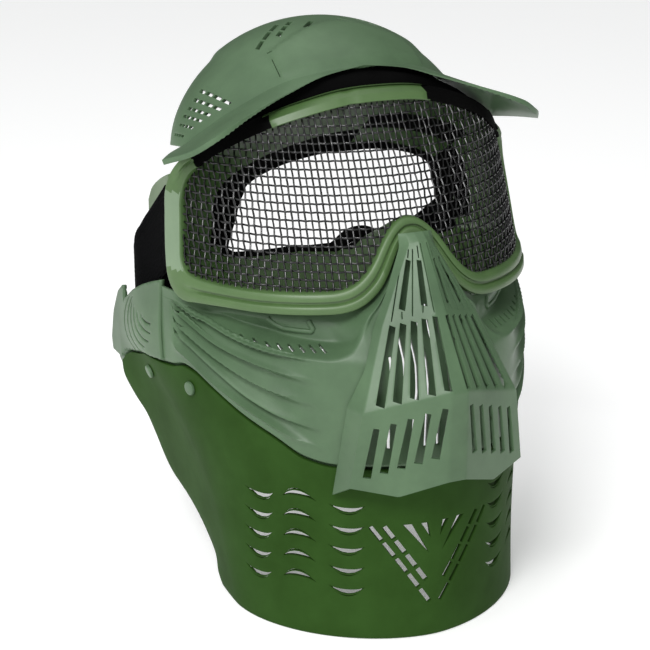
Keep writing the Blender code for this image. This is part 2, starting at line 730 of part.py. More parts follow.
VISOR_SIDES = [0, 0.19, HOOD_SIDE - 0.02, HOOD_SIDE + 0.02, 0.55, 0.69, 0.82, 0.92, 1.0]
VISOR_BACKS = [-1, -0.5, 0, 0.06, 0.20, 0.34, 0.48, 0.52, 0.68, 0.84, 1.0]
visor_rows = []
for back in VISOR_BACKS:
    row = []
    for side in [-s for s in VISOR_SIDES[:0:-1]] + VISOR_SIDES:
        raised = abs(side) < HOOD_SIDE and 0.04 < back < 0.5
        row.append(leaned(visor_point(side, back, HOOD_RISE if raised else 0.0)))
    visor_rows.append(row)
visor_faces = skin(visor_rows)
visor_faces.normal_update()
visor_facets = BVHTree.FromBMesh(visor_faces)
visor_faces.free()
visor = finish(skin(visor_rows), "visor", SATIN_GREEN, 40)
add_wall(visor, VISOR_WALL)


def room_below_visor(point, most):
    """Height that a piece may reach above a point before it meets the visor, up to a limit."""
    hit, facing, _, _ = visor_facets.ray_cast(point, Vector((0, 0, 1)))
    if hit is None:
        return most
    return min(hit.z - point.z - VISOR_WALL / max(abs(facing.z), 0.4) - FIT_GAP, most)


# Slots in the crown's sides and top
SIDE_SLOTS = 5
SIDE_SLOT_LIFT = 0.571       # upper slot above the crown's widest level, as a share of its rise
SIDE_SLOT_PITCH = 0.0044
visor_cuts = Cutters("visor_slots")
for index in range(SIDE_SLOTS):
    lift = SIDE_SLOT_LIFT - index * SIDE_SLOT_PITCH / CROWN_RISE
    ring = math.sqrt(1 - lift * lift)
    for sign in (1, -1):
        for start, end in ((76 + 5 * index, 104),):
            low = math.radians(start)
            high = math.radians(end)
            outline = []
            for way in (0, 0.5, 1):
                turn = low + (high - low) * way
                spot = Vector((sign * math.sin(turn) * ring, -math.cos(turn) * ring, lift))
                outline.append(leaned(dome(spot)) + Vector((0, 0, 0.0009)))
            for way in (1, 0.5, 0):
                turn = low + (high - low) * way
                spot = Vector((sign * math.sin(turn) * ring, -math.cos(turn) * ring, lift))
                outline.append(leaned(dome(spot)) - Vector((0, 0, 0.0009)))
            visor_cuts.add(outline, Vector((1, 0, 0.25 * sign)), 0.007)
TOP_SLOTS = [
    # x start, y start, x end, y end
    (0.041, -0.013, 0.024, 0.004),
    (0.030, -0.012, 0.017, 0.002),
    (0.018, -0.016, 0.011, -0.009),
]
for x0, y0, x1, y1 in TOP_SLOTS:
    for sign in (1, -1):
        start = Vector((sign * x0, y0, CROWN_BASE + CROWN_RISE))
        end = Vector((sign * x1, y1, CROWN_BASE + CROWN_RISE))
        across = (end - start).cross(Vector((0, 0, 1)))
        visor_cuts.add(strip(start, end, across, 0.0022, 0.0022), Vector((0, 0, 1)), 0.018)
visor_cuts.cut(visor)

# Visor posts: flanges on the goggle's upper corners that carry the visor
POST_TURNS = (51.0, 54.0, 56.5, 58.9)
POST_MOST = 0.0050
POST_LEAST = 0.0012
POST_WALL = 0.0022
POST_OUT = 0.0012
CORNER_EDGE = sorted((t, h) for t, h in BAND_EDGE[3:9])
for name, sign in (("visor_post_right", -1), ("visor_post_left", 1)):
    rows = []
    for turn in POST_TURNS:
        low = straight(CORNER_EDGE, turn) + FIT_GAP
        feet = [lens_point(turn * sign, low, out) for out in (POST_OUT, POST_OUT - POST_WALL)]
        rise = max(min(room_below_visor(foot, POST_MOST) for foot in feet), POST_LEAST)
        rows.append([lens_point(turn * sign, h, out)
                     for h, out in ((low, POST_OUT), (low + rise, POST_OUT),
                                    (low + rise, POST_OUT - POST_WALL), (low, POST_OUT - POST_WALL))])
    post = skin(rows, closed=True)
    post.verts.ensure_lookup_table()
    post.faces.new(post.verts[:4])
    post.faces.new(post.verts[-4:][::-1])
    bmesh.ops.recalc_face_normals(post, faces=post.faces)
    finish(post, name, FRAME_GREEN, 40)

# Mouth grille: faceted cover, each row from the centre ridge out and back to the shell
GRILLE_ROWS = [
    # height,  ridge x, ridge y, edge x, edge y, back x, back y (heights: ridge, edge, back)
    ((1.490, 1.488, 1.484), (0.050, 0.700), (0.125, 0.694), (0.190, 0.678)),
    ((1.467, 1.455, 1.440), (0.050, 0.735), (0.130, 0.720), (0.200, 0.678)),
    ((1.233, 1.198, 1.180), (0.060, 0.868), (0.540, 0.792), (0.590, 0.735)),
    ((1.000, 0.917, 0.917), (0.092, 1.000), (0.883, 0.877), (0.930, 0.760)),
    ((0.667, 0.640, 0.575), (0.097, 0.995), (1.000, 0.860), (1.040, 0.740)),
]
SADDLE_TOP = 1.30 * GUARD_HEIGHT


def saddle(point):
    """Point moved back until it just clears the shell or the guard behind the grille."""
    level = min(point.z, SADDLE_TOP)
    inner = point.x - GRILLE_WALL * 1.6
    rest = hull(level, along_for_x(level, inner)).y - FIT_GAP * 4
    if point.z > level:
        way = (point.z - level) / (GRILLE_ROWS[0][0][2] * GRILLE_KNEE - level)
        rest += (GRILLE_ROWS[0][3][1] * -GRILLE_REACH - rest) * way
    return Vector((point.x, rest, point.z))


grille_halves = []
for heights, ridge, edge, back in GRILLE_ROWS:
    spots = [Vector((x * GRILLE_HALF, -y * GRILLE_REACH, h * GRILLE_KNEE))
             for h, (x, y) in zip(heights, (ridge, edge, back))]
    middle = spots[0].lerp(spots[1], 0.5)
    if heights[0] == GRILLE_ROWS[-1][0][0]:
        middle.z = 0.609 * GRILLE_KNEE
    spots.insert(1, middle)
    if len(grille_halves) > 1:
        grille_halves.append([a.lerp(b, 0.5) for a, b in zip(grille_halves[-1], spots)])
    grille_halves.append(spots)
grille_rows = []
for ridge, middle, edge, back in grille_halves:
    back = saddle(back)
    grille_rows.append([mirrored(p) for p in (back, edge, middle, ridge)] + [ridge, middle, edge, back])
mouth_grille = finish(skin(grille_rows[::-1]), "mouth_grille", SATIN_GREEN, 12)
add_wall(mouth_grille, GRILLE_WALL)

# Grille slots: each row lies on its facet, between a top line and a bottom line
GRILLE_SLOTS = [
    # count, top from (x, z), top to (x, z), bottom from, bottom to, width
    (2, (0.0038, 0.1797), (0.0077, 0.1795), (0.0061, 0.1616), (0.0150, 0.1595), 0.0024),
    (5, (0.0030, 0.1575), (0.0201, 0.1529), (0.0051, 0.1286), (0.0320, 0.1207), 0.0032),
    (5, (0.0065, 0.1205), (0.0337, 0.1105), (0.0100, 0.0965), (0.0374, 0.0867), 0.0034),
]
GRILLE_CORNERS = [(row[-4], row[-2]) for row in grille_rows]


def grille_depth(x, height):
    """Forward place of the grille's outer facets behind a point of its front view."""
    for (ridge_high, edge_high), (ridge_low, edge_low) in zip(GRILLE_CORNERS, GRILLE_CORNERS[1:]):
        low, high = 0.0, 1.0
        for _ in range(25):
            share = (low + high) / 2
            ridge = ridge_high.lerp(ridge_low, share)
            edge = edge_high.lerp(edge_low, share)
            spot = ridge.lerp(edge, (x - ridge.x) / (edge.x - ridge.x))
            if spot.z > height:
                low = share
            else:
                high = share
        if share < 0.999:
            return spot.y
    return spot.y


grille_cuts = Cutters("grille_slots")
for count, top_in, top_out, low_in, low_out, width in GRILLE_SLOTS:
    for index in range(count):
        share = index / (count - 1)
        top_x = top_in[0] + (top_out[0] - top_in[0]) * share
        top_z = top_in[1] + (top_out[1] - top_in[1]) * share
        low_x = low_in[0] + (low_out[0] - low_in[0]) * share
        low_z = low_in[1] + (low_out[1] - low_in[1]) * share
        depth = (grille_depth(top_x, top_z) + grille_depth(low_x, low_z)) / 2
        narrow = width * 0.72
        for sign in (1, -1):
            start = Vector((sign * top_x, depth, top_z))
            end = Vector((sign * low_x, depth, low_z))
            across = (end - start).cross(Vector((0, 1, 0)))
            grille_cuts.add(strip(start, end, across, narrow, width), Vector((0, 1, 0)), 0.012)
grille_cuts.cut(mouth_grille)

# Ear guards: bulged covers behind the shell, tucked inside the neck guard's tabs
EAR_FRONT = -0.0135
EAR_EDGE = [
    # back     top     bottom
    (-0.0135,  0.1555, 0.0990),
    (-0.0050,  0.1525, 0.0983),
    (0.0050,   0.1485, 0.0972),
    (0.0160,   0.1430, 0.0950),
    (0.0280,   0.1352, 0.0916),
    (0.0305,   0.1325, 0.0910),
    (0.0330,   0.1410, 0.0905),
    (0.0420,   0.1350, 0.0876),
    (0.0520,   0.1220, 0.0865),
    (0.0600,   0.1050, 0.0930),
]
EAR_BULGE = 0.0030
EAR_CENTRE = (0.0150, 0.1260)
EAR_SLOT = 0.0015
# Nested curved slots: each starts high, turns at its rearmost bend and ends low at the front
EAR_SLOTS = [
    # top back, height,  bend back, height,  end back, height
    (0.0040, 0.1335,     0.0020, 0.1300,    -0.0060, 0.1312),
    (0.0085, 0.1335,     0.0070, 0.1255,    -0.0055, 0.1262),
    (0.0125, 0.1350,     0.0140, 0.1205,    -0.0030, 0.1212),
    (0.0160, 0.1365,     0.0215, 0.1175,     0.0025, 0.1168),
    (0.0160, 0.1395,     0.0330, 0.1165,     0.0095, 0.1128),
    (0.0205, 0.1385,     0.0410, 0.1150,     0.0180, 0.1100),
]


def guard_top_beside(back):
    """Height of the guard's top edge beside a place along the head."""
    low, high = 0.3, 1.0
    for _ in range(30):
        middle = (low + high) / 2
        if hull(guard_top(middle), middle).y < back:
            low = middle
        else:
            high = middle
    return guard_top(low)


def ear_point(back, height, tucked):
    distance = ((back - EAR_CENTRE[0]) / 0.030) ** 2 + ((height - EAR_CENTRE[1]) / 0.024) ** 2
    bulge = EAR_BULGE * math.exp(-distance)
    inset = TUCK_INSET if tucked else -bulge
    return Vector((hull(height, along_for_back(height, back)).x - inset, back, height))


for name, sign in (("ear_guard_right", -1), ("ear_guard_left", 1)):
    columns = []
    for back, top, bottom in EAR_EDGE:
        seam = min(guard_top_beside(back) + SEAM_GAP, top - 0.006)
        heights = [min(bottom, seam - 0.003), seam + 0.0002, seam + 0.0014]
        for share in (0.3, 0.65, 1.0):
            heights.append(seam + 0.0014 + (top - seam - 0.0014) * share)
        columns.append([ear_point(back, h, i < 2) for i, h in enumerate(heights)])
    rows = [list(row) for row in zip(*columns)]
    if sign < 0:
        rows = [[mirrored(p) for p in row][::-1] for row in rows]
    ear = finish(skin(rows), name, SATIN_GREEN, 40)
    add_wall(ear, SHELL_WALL)
    ear_cuts = Cutters(name + "_slots")
    for row in EAR_SLOTS:
        top, turn, low = [Vector((sign * CHEEK_HALF, back, high)) for back, high in (row[:2], row[2:4], row[4:])]
        upper = []
        lower = []
        for step in range(5):
            way = step / 4
            spot = top.lerp(turn, way).lerp(turn.lerp(low, way), way)
            ahead = top.lerp(turn, way + 0.05).lerp(turn.lerp(low, way + 0.05), way + 0.05)
            side = (ahead - spot).cross(Vector((1, 0, 0))).normalized() * EAR_SLOT / 2
            upper.append(spot + side)
            lower.append(spot - side)
        ear_cuts.add(upper + lower[::-1], Vector((sign, 0, 0)), 0.012)
    ear_cuts.cut(ear)

# Strap: one loop round the back of the head, higher at the goggle than at the nape
STRAP_START = -0.0170
STRAP_HALF = 0.0870
STRAP_TURN = 0.0340
STRAP_LEVELS = [
    # share of the way round, height of the strap's middle
    (0.00, 0.1820), (0.20, 0.1670), (0.40, 0.1500), (0.55, 0.1290), (0.70, 0.1120), (1.00, 0.0980),
]


def strap_point(share):
    straight = 0.40
    if share < straight:
        way = share / straight
        x = STRAP_HALF + 0.0028 * (1 - way) ** 2
        y = STRAP_START + (STRAP_TURN - STRAP_START) * way
    else:
        turn = (share - straight) / (1 - straight) * math.pi / 2
        x = STRAP_HALF * math.cos(turn)
        y = STRAP_TURN + (STRAP_BACK - STRAP_TURN) * math.sin(turn)
    return Vector((x, y, spread(STRAP_LEVELS, share, 1)))


strap_rows = []
for side in (-0.5, 0.5):
    row = []
    for step in range(17):
        point = strap_point(step / 16)
        point.z += side * STRAP_WIDTH
        row.append(point)
    strap_rows.append(row[::-1])
strap_rows = [[mirrored(p) for p in row[:0:-1]] + row for row in strap_rows]
head_strap = finish(skin(strap_rows[::-1]), "head_strap", BLACK_WEBBING, 40)
add_wall(head_strap, STRAP_WALL)

# Temples: side arms behind the goggle's bars that the strap is held on
TEMPLE_WALL = 0.0020
TEMPLE_EDGE = [
    # back     top     bottom
    (-0.0181,  0.2080, 0.1560),
    (-0.0080,  0.2050, 0.1590),
    (0.0050,   0.2000, 0.1640),
    (0.0180,   0.1930, 0.1700),
    (0.0240,   0.1860, 0.1740),
]
for name, sign in (("temple_right", -1), ("temple_left", 1)):
    columns = []
    for back, top, bottom in TEMPLE_EDGE:
        way = min(max((back - STRAP_START) / (STRAP_TURN - STRAP_START), 0), 1)
        x = STRAP_HALF + 0.0028 * (1 - way) ** 2 - STRAP_WALL - FIT_GAP
        columns.append([Vector((sign * x, back, bottom + (top - bottom) * i / 3)) for i in range(4)])
    rows = [list(row) for row in zip(*columns)]
    if sign < 0:
        rows = [row[::-1] for row in rows]
    add_wall(finish(skin(rows), name, FRAME_GREEN, 40), TEMPLE_WALL)

# Vent foam: black strip on the goggle's roof that closes the slot under the visor
VENT_TURN = 50
VENT_STEPS = 10
VENT_FRONT = -0.0027
VENT_DEPTH = 0.0100
VENT_SINK = 0.0039           # foam's foot below the top edge of the goggle's band
VENT_MOST = 0.0180
VENT_LEAST = 0.0045
VENT_ROOM = 0.0014           # left free under the visor
VENT_STEP = 0.0002


def vent_top(turn, foot, out):
    """Point of the foam's top above its foot, as high as the visor leaves room for."""
    rise = VENT_LEAST
    while rise < VENT_MOST:
        spot = lens_point(turn, foot + rise + VENT_STEP, out)
        behind = spot + Vector((0, 0.002, 0))
        if min(room_below_visor(spot, VENT_MOST), room_below_visor(behind, VENT_MOST)) < VENT_ROOM:
            break
        rise += VENT_STEP
    return lens_point(turn, foot + rise, out)


vent_rows = [[] for _ in range(5)]
for step in range(-VENT_STEPS, VENT_STEPS + 1):
    turn = VENT_TURN * step / VENT_STEPS
    top = sorted((t, h) for t, h in BAND_EDGE[:8])
    foot = spread(top, abs(turn), 1) - VENT_SINK
    vent_rows[0].append(lens_point(turn, foot, VENT_FRONT))
    vent_rows[1].append(vent_top(turn, foot, VENT_FRONT - 0.001))
    vent_rows[2].append(vent_top(turn, foot, VENT_FRONT - VENT_DEPTH / 2))
    vent_rows[3].append(vent_top(turn, foot, VENT_FRONT - VENT_DEPTH))
    vent_rows[4].append(lens_point(turn, foot - 0.002, VENT_FRONT - VENT_DEPTH))
vent_sheet = skin(vent_rows + [vent_rows[0]])
bmesh.ops.remove_doubles(vent_sheet, verts=vent_sheet.verts, dist=1e-7)
bmesh.ops.holes_fill(vent_sheet, edges=vent_sheet.edges[:], sides=5)
bmesh.ops.recalc_face_normals(vent_sheet, faces=vent_sheet.faces)
finish(vent_sheet, "vent_foam", BLACK_FOAM, 50)

# Rivets through the neck guard's tabs and the shell
RIVETS = [
    # name, share of the way round, height
    ("ear", 0.755, 0.1015),
    ("jaw", 0.540, 0.1075),
]
RIVET_RINGS = [
    # share of the radius, share of the height
    (1.00, 0.00), (1.00, 0.25), (0.80, 0.72), (0.40, 1.00),
]
RIVET_SIDES = 10
for label, along, height in RIVETS:
    for sign in (1, -1):
        seat = hull(height, along)
        out = hull_facing(height, along)
        if sign < 0:
            seat, out = mirrored(seat), mirrored(out)
        spin = Vector((0, 0, 1)).rotation_difference(out).to_matrix()
        rings = []
        for wide, high in RIVET_RINGS:
            ring = []
            for step in range(RIVET_SIDES):
                turn = 2 * math.pi * step / RIVET_SIDES
                spot = Vector((math.cos(turn) * wide * RIVET_RADIUS, math.sin(turn) * wide * RIVET_RADIUS,
                               high * RIVET_HEIGHT + FIT_GAP))
                ring.append(seat + spin @ spot)
            rings.append(ring)
        head = skin(rings, closed=True)
        head.verts.ensure_lookup_table()
        head.faces.new(head.verts[:RIVET_SIDES][::-1])
        head.faces.new(head.verts[-RIVET_SIDES:])
        side_name = "left" if sign > 0 else "right"
        finish(head, "rivet_" + label + "_" + side_name, SATIN_GREEN, 50)
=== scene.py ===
"""Full-face airsoft mask, dressed for the camera. Sizes are in metres, in the CAD's frame."""
import math

import bmesh
import bpy
import numpy as np
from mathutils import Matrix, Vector
from mathutils.bvhtree import BVHTree
from mathutils.geometry import delaunay_2d_cdt


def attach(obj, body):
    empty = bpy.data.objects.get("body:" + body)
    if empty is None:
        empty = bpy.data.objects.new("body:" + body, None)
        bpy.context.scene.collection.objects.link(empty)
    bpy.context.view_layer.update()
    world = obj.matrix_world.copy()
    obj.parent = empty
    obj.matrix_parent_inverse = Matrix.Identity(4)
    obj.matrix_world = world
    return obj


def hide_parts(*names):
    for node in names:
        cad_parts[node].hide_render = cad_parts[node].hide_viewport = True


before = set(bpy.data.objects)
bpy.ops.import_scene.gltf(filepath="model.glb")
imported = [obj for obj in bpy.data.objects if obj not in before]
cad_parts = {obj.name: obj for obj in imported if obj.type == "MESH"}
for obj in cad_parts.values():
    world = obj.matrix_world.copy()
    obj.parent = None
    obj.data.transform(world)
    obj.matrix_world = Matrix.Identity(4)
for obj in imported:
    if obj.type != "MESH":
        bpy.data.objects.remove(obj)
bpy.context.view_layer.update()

# Studio: the mask stands on pale paper in soft light from the upper left of the camera,
# which stands in front of the wearer's right cheek, a little above the goggle.
TARGET = Vector((0, 0.018, 0.11594))
CAMERA_DISTANCE = 0.884909
EYE = TARGET + Vector((-0.39370, -0.86480, 0.31180)) * CAMERA_DISTANCE
LENS_MM = 95.26


def linear(hex_colour):
    """Linear colour of an sRGB hex value."""
    parts = [int(hex_colour[i:i + 2], 16) / 255 for i in (1, 3, 5)]
    return (*[c / 12.92 if c <= 0.04045 else ((c + 0.055) / 1.055) ** 2.4 for c in parts], 1.0)


def join(node, links):
    """Links from other nodes' outputs to a node's own sockets."""
    for socket, output in links.items():
        node.id_data.links.new(output, node.inputs[socket])


def add_node(tree, kind, settings={}, links={}):
    """Node with its settings, each an option or a socket's value, and its links."""
    node = tree.nodes.new(kind)
    for name, value in settings.items():
        if isinstance(name, str) and hasattr(node, name):
            setattr(node, name, value)
        else:
            node.inputs[name].default_value = value
    join(node, links)
    return node


def finish_of(name, settings):
    """New material, its nodes and its shader, with the values that are the same all over."""
    material = bpy.data.materials.new(name)
    material.use_nodes = True
    shader = material.node_tree.nodes["Principled BSDF"]
    for socket, value in settings.items():
        shader.inputs[socket].default_value = value
    return material, material.node_tree, shader


def put(name, data, place=None):
    """Object in the scene; one with a place is turned to look at the mask."""
    thing = bpy.data.objects.new(name, data)
    bpy.context.scene.collection.objects.link(thing)
    if place:
        thing.location = place
        thing.rotation_euler = (TARGET - Vector(place)).to_track_quat("-Z", "Y").to_euler()
    return thing


camera = put("camera", bpy.data.cameras.new("camera"), EYE)
camera.data.lens = LENS_MM
camera.data.sensor_width = 36
bpy.context.scene.camera = camera

# Matt paper, lit a little from within so that it stays pale where the mask shades it
paper = finish_of("matt white paper", {
    "Base Color": linear("#fafaf9"), "Roughness": 0.9,
    "Emission Color": linear("#ffffff"), "Emission Strength": 0.18})[0]
FLOOR_HALF = 4.0
FLOOR_DROP = 0.0004          # keeps the paper clear of the guard's rim
floor_form = bmesh.new()
bmesh.ops.create_grid(floor_form, x_segments=1, y_segments=1, size=FLOOR_HALF)
bmesh.ops.translate(floor_form, verts=floor_form.verts, vec=(0, 0, -FLOOR_DROP))
floor_mesh = bpy.data.meshes.new("floor")
floor_form.to_mesh(floor_mesh)
floor_form.free()
floor_mesh.materials.append(paper)
put("floor", floor_mesh)

# Room light: a wide pale glow from high on the left that fades to a dim right side
LIGHT_SIDE = (-0.60, -0.38, 0.70)
world = bpy.data.worlds.new("studio")
world.use_nodes = True
sky = add_node(world.node_tree, "ShaderNodeTexCoord")
toward = add_node(world.node_tree, "ShaderNodeVectorMath", {"operation": "DOT_PRODUCT", 1: LIGHT_SIDE},
                  {0: sky.outputs["Generated"]})
glow = add_node(world.node_tree, "ShaderNodeMapRange",
                {"interpolation_type": "SMOOTHSTEP", "From Min": -0.30, "From Max": 1.0,
                 "To Min": 0.10, "To Max": 1.10}, {"Value": toward.outputs["Value"]})
backdrop = world.node_tree.nodes["Background"]
backdrop.inputs["Color"].default_value = linear("#fafbfc")
join(backdrop, {"Strength": glow.outputs["Result"]})
bpy.context.scene.world = world
bpy.context.scene.view_settings.view_transform = "Standard"

SOFTBOXES = [
    # name, place, side, watts
    ("key", (-0.95, -1.00, 1.35), 0.6, 21.0),
    ("fill", (1.30, -1.20, 0.55), 0.8, 0.4),
    ("top", (0.10, 0.40, 1.50), 0.9, 1.5),
]
for name, place, side, watts in SOFTBOXES:
    light = bpy.data.lights.new(name, "AREA")
    light.shape = "SQUARE"
    light.size = side
    light.energy = watts
    put(name, light, place)

# Neck guard: one bib of soft green rubber, compression moulded with its crescent slots and
# the V of dashes below the grille. It is riveted to the shell at the jaw and the ear.
CHEEK_HALF = 0.0960
CHIN_REACH = 0.1250
GUARD_HEIGHT = 0.1170
RUBBER_WALL = 0.0020
MIDDLE_SHIFT = 0.0180        # from the sizes' upright middle plane to the frame's origin
FRONT_SHARE = 0.70           # share of the way round at which the front's curve ends
SEARCH_STEPS = 26
PLAN = [
    # height  front   half   widest  roundness
    (0.000,   1.000,  0.766, -0.455, 1.80),
    (0.256,   0.995,  0.792, -0.367, 1.85),
    (0.513,   0.990,  0.833, -0.272, 1.90),
    (0.769,   0.992,  0.911, -0.096, 1.95),
    (1.000,   0.998,  0.990,  0.120, 2.00),
    (1.154,   0.976,  0.995,  0.120, 2.00),
    (1.250,   0.912,  0.995,  0.120, 2.00),
    (1.393,   0.860,  0.995,  0.120, 2.00),
    (1.521,   0.804,  0.995,  0.120, 2.00),
    (1.624,   0.772,  0.995,  0.120, 2.00),
]
REAR = [
    # height  half    back
    (0.000,   0.758, -0.288),
    (0.043,   0.758, -0.240),
    (0.103,   0.759, -0.227),
    (0.188,   0.769, -0.144),
    (0.265,   0.786, -0.040),
    (0.308,   0.797,  0.064),
    (0.342,   0.807,  0.176),
    (0.427,   0.833,  0.240),
    (0.513,   0.865,  0.256),
    (0.600,   0.901,  0.275),
    (0.667,   0.938,  0.327),
    (0.769,   0.979,  0.375),
    (0.889,   0.993,  0.351),
    (1.000,   0.998,  0.335),
]
TOP_EDGE = [
    (0.000, 0.726), (0.245, 0.729), (0.310, 0.750), (0.360, 0.807), (0.416, 0.866),
    (0.480, 0.954), (0.520, 0.995), (0.545, 1.000), (0.580, 0.975), (0.680, 0.947),
    (0.830, 0.910), (0.920, 0.889), (0.970, 0.862), (1.000, 0.820),
]


def spread(table, key, column):
    """Smooth value of one table column at a key in the table's first column."""
    rows = sorted(table)
    if key <= rows[0][0]:
        return rows[0][column]
    if key >= rows[-1][0]:
        return rows[-1][column]
    index = max(i for i, row in enumerate(rows) if row[0] <= key)
    here, after = rows[index], rows[index + 1]
    before = rows[index - 1] if index else here
    beyond = rows[index + 2] if index + 2 < len(rows) else after
    span = after[0] - here[0]
    share = (key - here[0]) / span
    slope = (after[column] - here[column]) / span
    slope_in = slope if before is here else (here[column] - before[column]) / (here[0] - before[0])
    slope_out = slope if beyond is after else (beyond[column] - after[column]) / (beyond[0] - after[0])
    start = 0.0 if slope * slope_in <= 0 else 2 * slope * slope_in / (slope + slope_in)
    end = 0.0 if slope * slope_out <= 0 else 2 * slope * slope_out / (slope + slope_out)
    square, cube = share * share, share ** 3
    return ((2 * cube - 3 * square + 1) * here[column] + (cube - 2 * square + share) * span * start
            + (3 * square - 2 * cube) * after[column] + (cube - square) * span * end)


def hull(height, along, inset=0.0):
    """Point on the outer face at a height, a share of the way round, set in by a distance."""
    level = height / GUARD_HEIGHT
    front = -CHIN_REACH * spread(PLAN, level, 1)
    half = CHEEK_HALF * spread(PLAN, level, 2)
    widest = CHIN_REACH * spread(PLAN, level, 3)
    power = 2 / spread(PLAN, level, 4)
    if along <= FRONT_SHARE:
        turn = along / FRONT_SHARE * math.pi / 2
        x = half * math.sin(turn) ** power
        y = widest - (widest - front) * math.cos(turn) ** power
        out = Vector((math.sin(turn) * (widest - front), -math.cos(turn) * half, 0)).normalized()
    else:
        way = (along - FRONT_SHARE) / (1 - FRONT_SHARE)
        x = half + (CHEEK_HALF * spread(REAR, level, 1) - half) * way ** 2
        y = widest + (CHIN_REACH * spread(REAR, level, 2) - widest) * way
        out = Vector((1, 0, 0))
    return Vector((x, y, height)) - out * inset


def share_where(short_of_it, low, high):
    """Share of the way round, between two others, at which a test turns false."""
    for _ in range(SEARCH_STEPS):
        middle = (low + high) / 2
        if short_of_it(middle):
            low = middle
        else:
            high = middle
    return low


def along_for_x(height, x):
    """Share of the way round the front at which the hull has a given half width."""
    return share_where(lambda along: hull(height, along).x < x, 0.0, FRONT_SHARE)


def guard_top(along):
    """Height of the neck guard's top edge at a share of the way round."""
    return GUARD_HEIGHT * spread(TOP_EDGE, along, 1)


def net_of(point_at, across, up):
    return np.array([[point_at(a, b)[:] for b in up] for a in across])


def inside(points, outline):
    """Which points lie inside a closed outline."""
    ring = np.asarray(outline)
    after = np.roll(ring, -1, axis=0)
    x, y = points[:, 0:1], points[:, 1:2]
    crosses = (ring[:, 1] > y) != (after[:, 1] > y)
    rise = np.where(after[:, 1] == ring[:, 1], 1e-12, after[:, 1] - ring[:, 1])
    reach = (after[:, 0] - ring[:, 0]) * (y - ring[:, 1]) / rise + ring[:, 0]
    return (crosses & (x < reach)).sum(axis=1) % 2 == 1


def gap_to(points, outline):
    """Distance from each point to the nearest side of a closed outline."""
    ring = np.asarray(outline)
    side = np.roll(ring, -1, axis=0) - ring
    off = points[:, None, :] - ring
    share = (off * side).sum(axis=2) / np.maximum((side ** 2).sum(axis=1), 1e-18)
    spots = ring + np.clip(share, 0, 1)[..., None] * side
    return np.sqrt(((points[:, None, :] - spots) ** 2).sum(axis=2)).min(axis=1)


def split(outline, pitch, closed=True):
    """The same run of points with no side longer than a pitch."""
    run = []
    ends = outline[1:] + outline[:1] if closed else outline[1:]
    for start, end in zip(outline, ends):
        count = max(1, math.ceil(math.dist(start, end) / pitch))
        run += [(start[0] + (end[0] - start[0]) * i / count, start[1] + (end[1] - start[1]) * i / count)
                for i in range(count)]
    return run if closed else run + [outline[-1]]


# Shares of the pitch: stagger of every other column, room beside the outline, room beside a hole
GRID_STAGGER, OUTLINE_ROOM, HOLE_ROOM = 0.25, 0.45, 0.40


def cut_sheet(outline, holes, pitch, to_point):
    """Sheet of small triangles inside an outline and round its holes, lifted to its place."""
    outline = split(outline, pitch)
    low, high = np.min(outline, axis=0), np.max(outline, axis=0)
    counts = np.ceil((high - low) / pitch).astype(int) + 1
    across, up = [np.linspace(low[k], high[k], counts[k]) for k in (0, 1)]
    grid = np.array([(a, b + (i % 2) * pitch * GRID_STAGGER) for i, a in enumerate(across) for b in up])
    grid = grid[inside(grid, outline)]
    grid = grid[gap_to(grid, outline) > pitch * OUTLINE_ROOM]
    for hole in holes:
        ring = np.array(hole)
        near = np.all((grid > ring.min(axis=0) - pitch) & (grid < ring.max(axis=0) + pitch), axis=1)
        bad = np.zeros(len(grid), bool)
        bad[near] = inside(grid[near], ring) | (gap_to(grid[near], ring) < pitch * HOLE_ROOM)
        grid = grid[~bad]
    points, edges = [], []
    for ring in [outline] + holes:
        first = len(points)
        points += [Vector(p) for p in ring]
        edges += [(first + i, first + (i + 1) % len(ring)) for i in range(len(ring))]
    points += [Vector(p) for p in grid]
    flat, _, faces = delaunay_2d_cdt(points, edges, [], 0, 1e-7)[:3]
    middles = np.array([[sum(flat[i][k] for i in face) / 3 for k in (0, 1)] for face in faces])
    keep = inside(middles, outline)
    for hole in holes:
        ring = np.array(hole)
        near = np.all((middles > ring.min(axis=0)) & (middles < ring.max(axis=0)), axis=1)
        keep[near] &= ~inside(middles[near], ring)
    form = bmesh.new()
    verts = [form.verts.new(to_point(p[0], p[1])) for p in flat]
    for face, wanted in zip(faces, keep):
        if wanted:
            form.faces.new([verts[i] for i in face])
    loose = [v for v in form.verts if not v.link_faces]
    bmesh.ops.delete(form, geom=loose, context="VERTS")
    form.normal_update()
    return form


def settle(name, form, material, nodes=(), sharp=40, shift=True):
    """Finished piece at the frame's origin, riding on the mask and standing for its CAD nodes."""
    if shift:
        bmesh.ops.translate(form, verts=form.verts, vec=(0, MIDDLE_SHIFT, 0))
    mesh = bpy.data.meshes.new(name)
    form.to_mesh(mesh)
    form.free()
    mesh.materials.append(material)
    mesh.shade_smooth()
    mesh.set_sharp_from_angle(angle=math.radians(sharp))
    piece = bpy.data.objects.new(name, mesh)
    bpy.context.scene.collection.objects.link(piece)
    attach(piece, "root")
    if nodes:
        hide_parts(*nodes)
    return piece


def add_wall(piece, wall, round_edge=0.0004):
    """Wall of a moulded skin, with its cut edges rounded."""
    solid = piece.modifiers.new("wall", "SOLIDIFY")
    solid.thickness = wall
    solid.offset = -1.0
    solid.use_even_offset = False
    solid.thickness_clamp = 0.5
    if round_edge:
        bevel = piece.modifiers.new("round", "BEVEL")
        bevel.width = round_edge
        bevel.segments = 2
        bevel.limit_method = "ANGLE"
        bevel.angle_limit = math.radians(55)


CLOUD_MM = 1000 / 26         # soft patches of tone, about 4 cm across


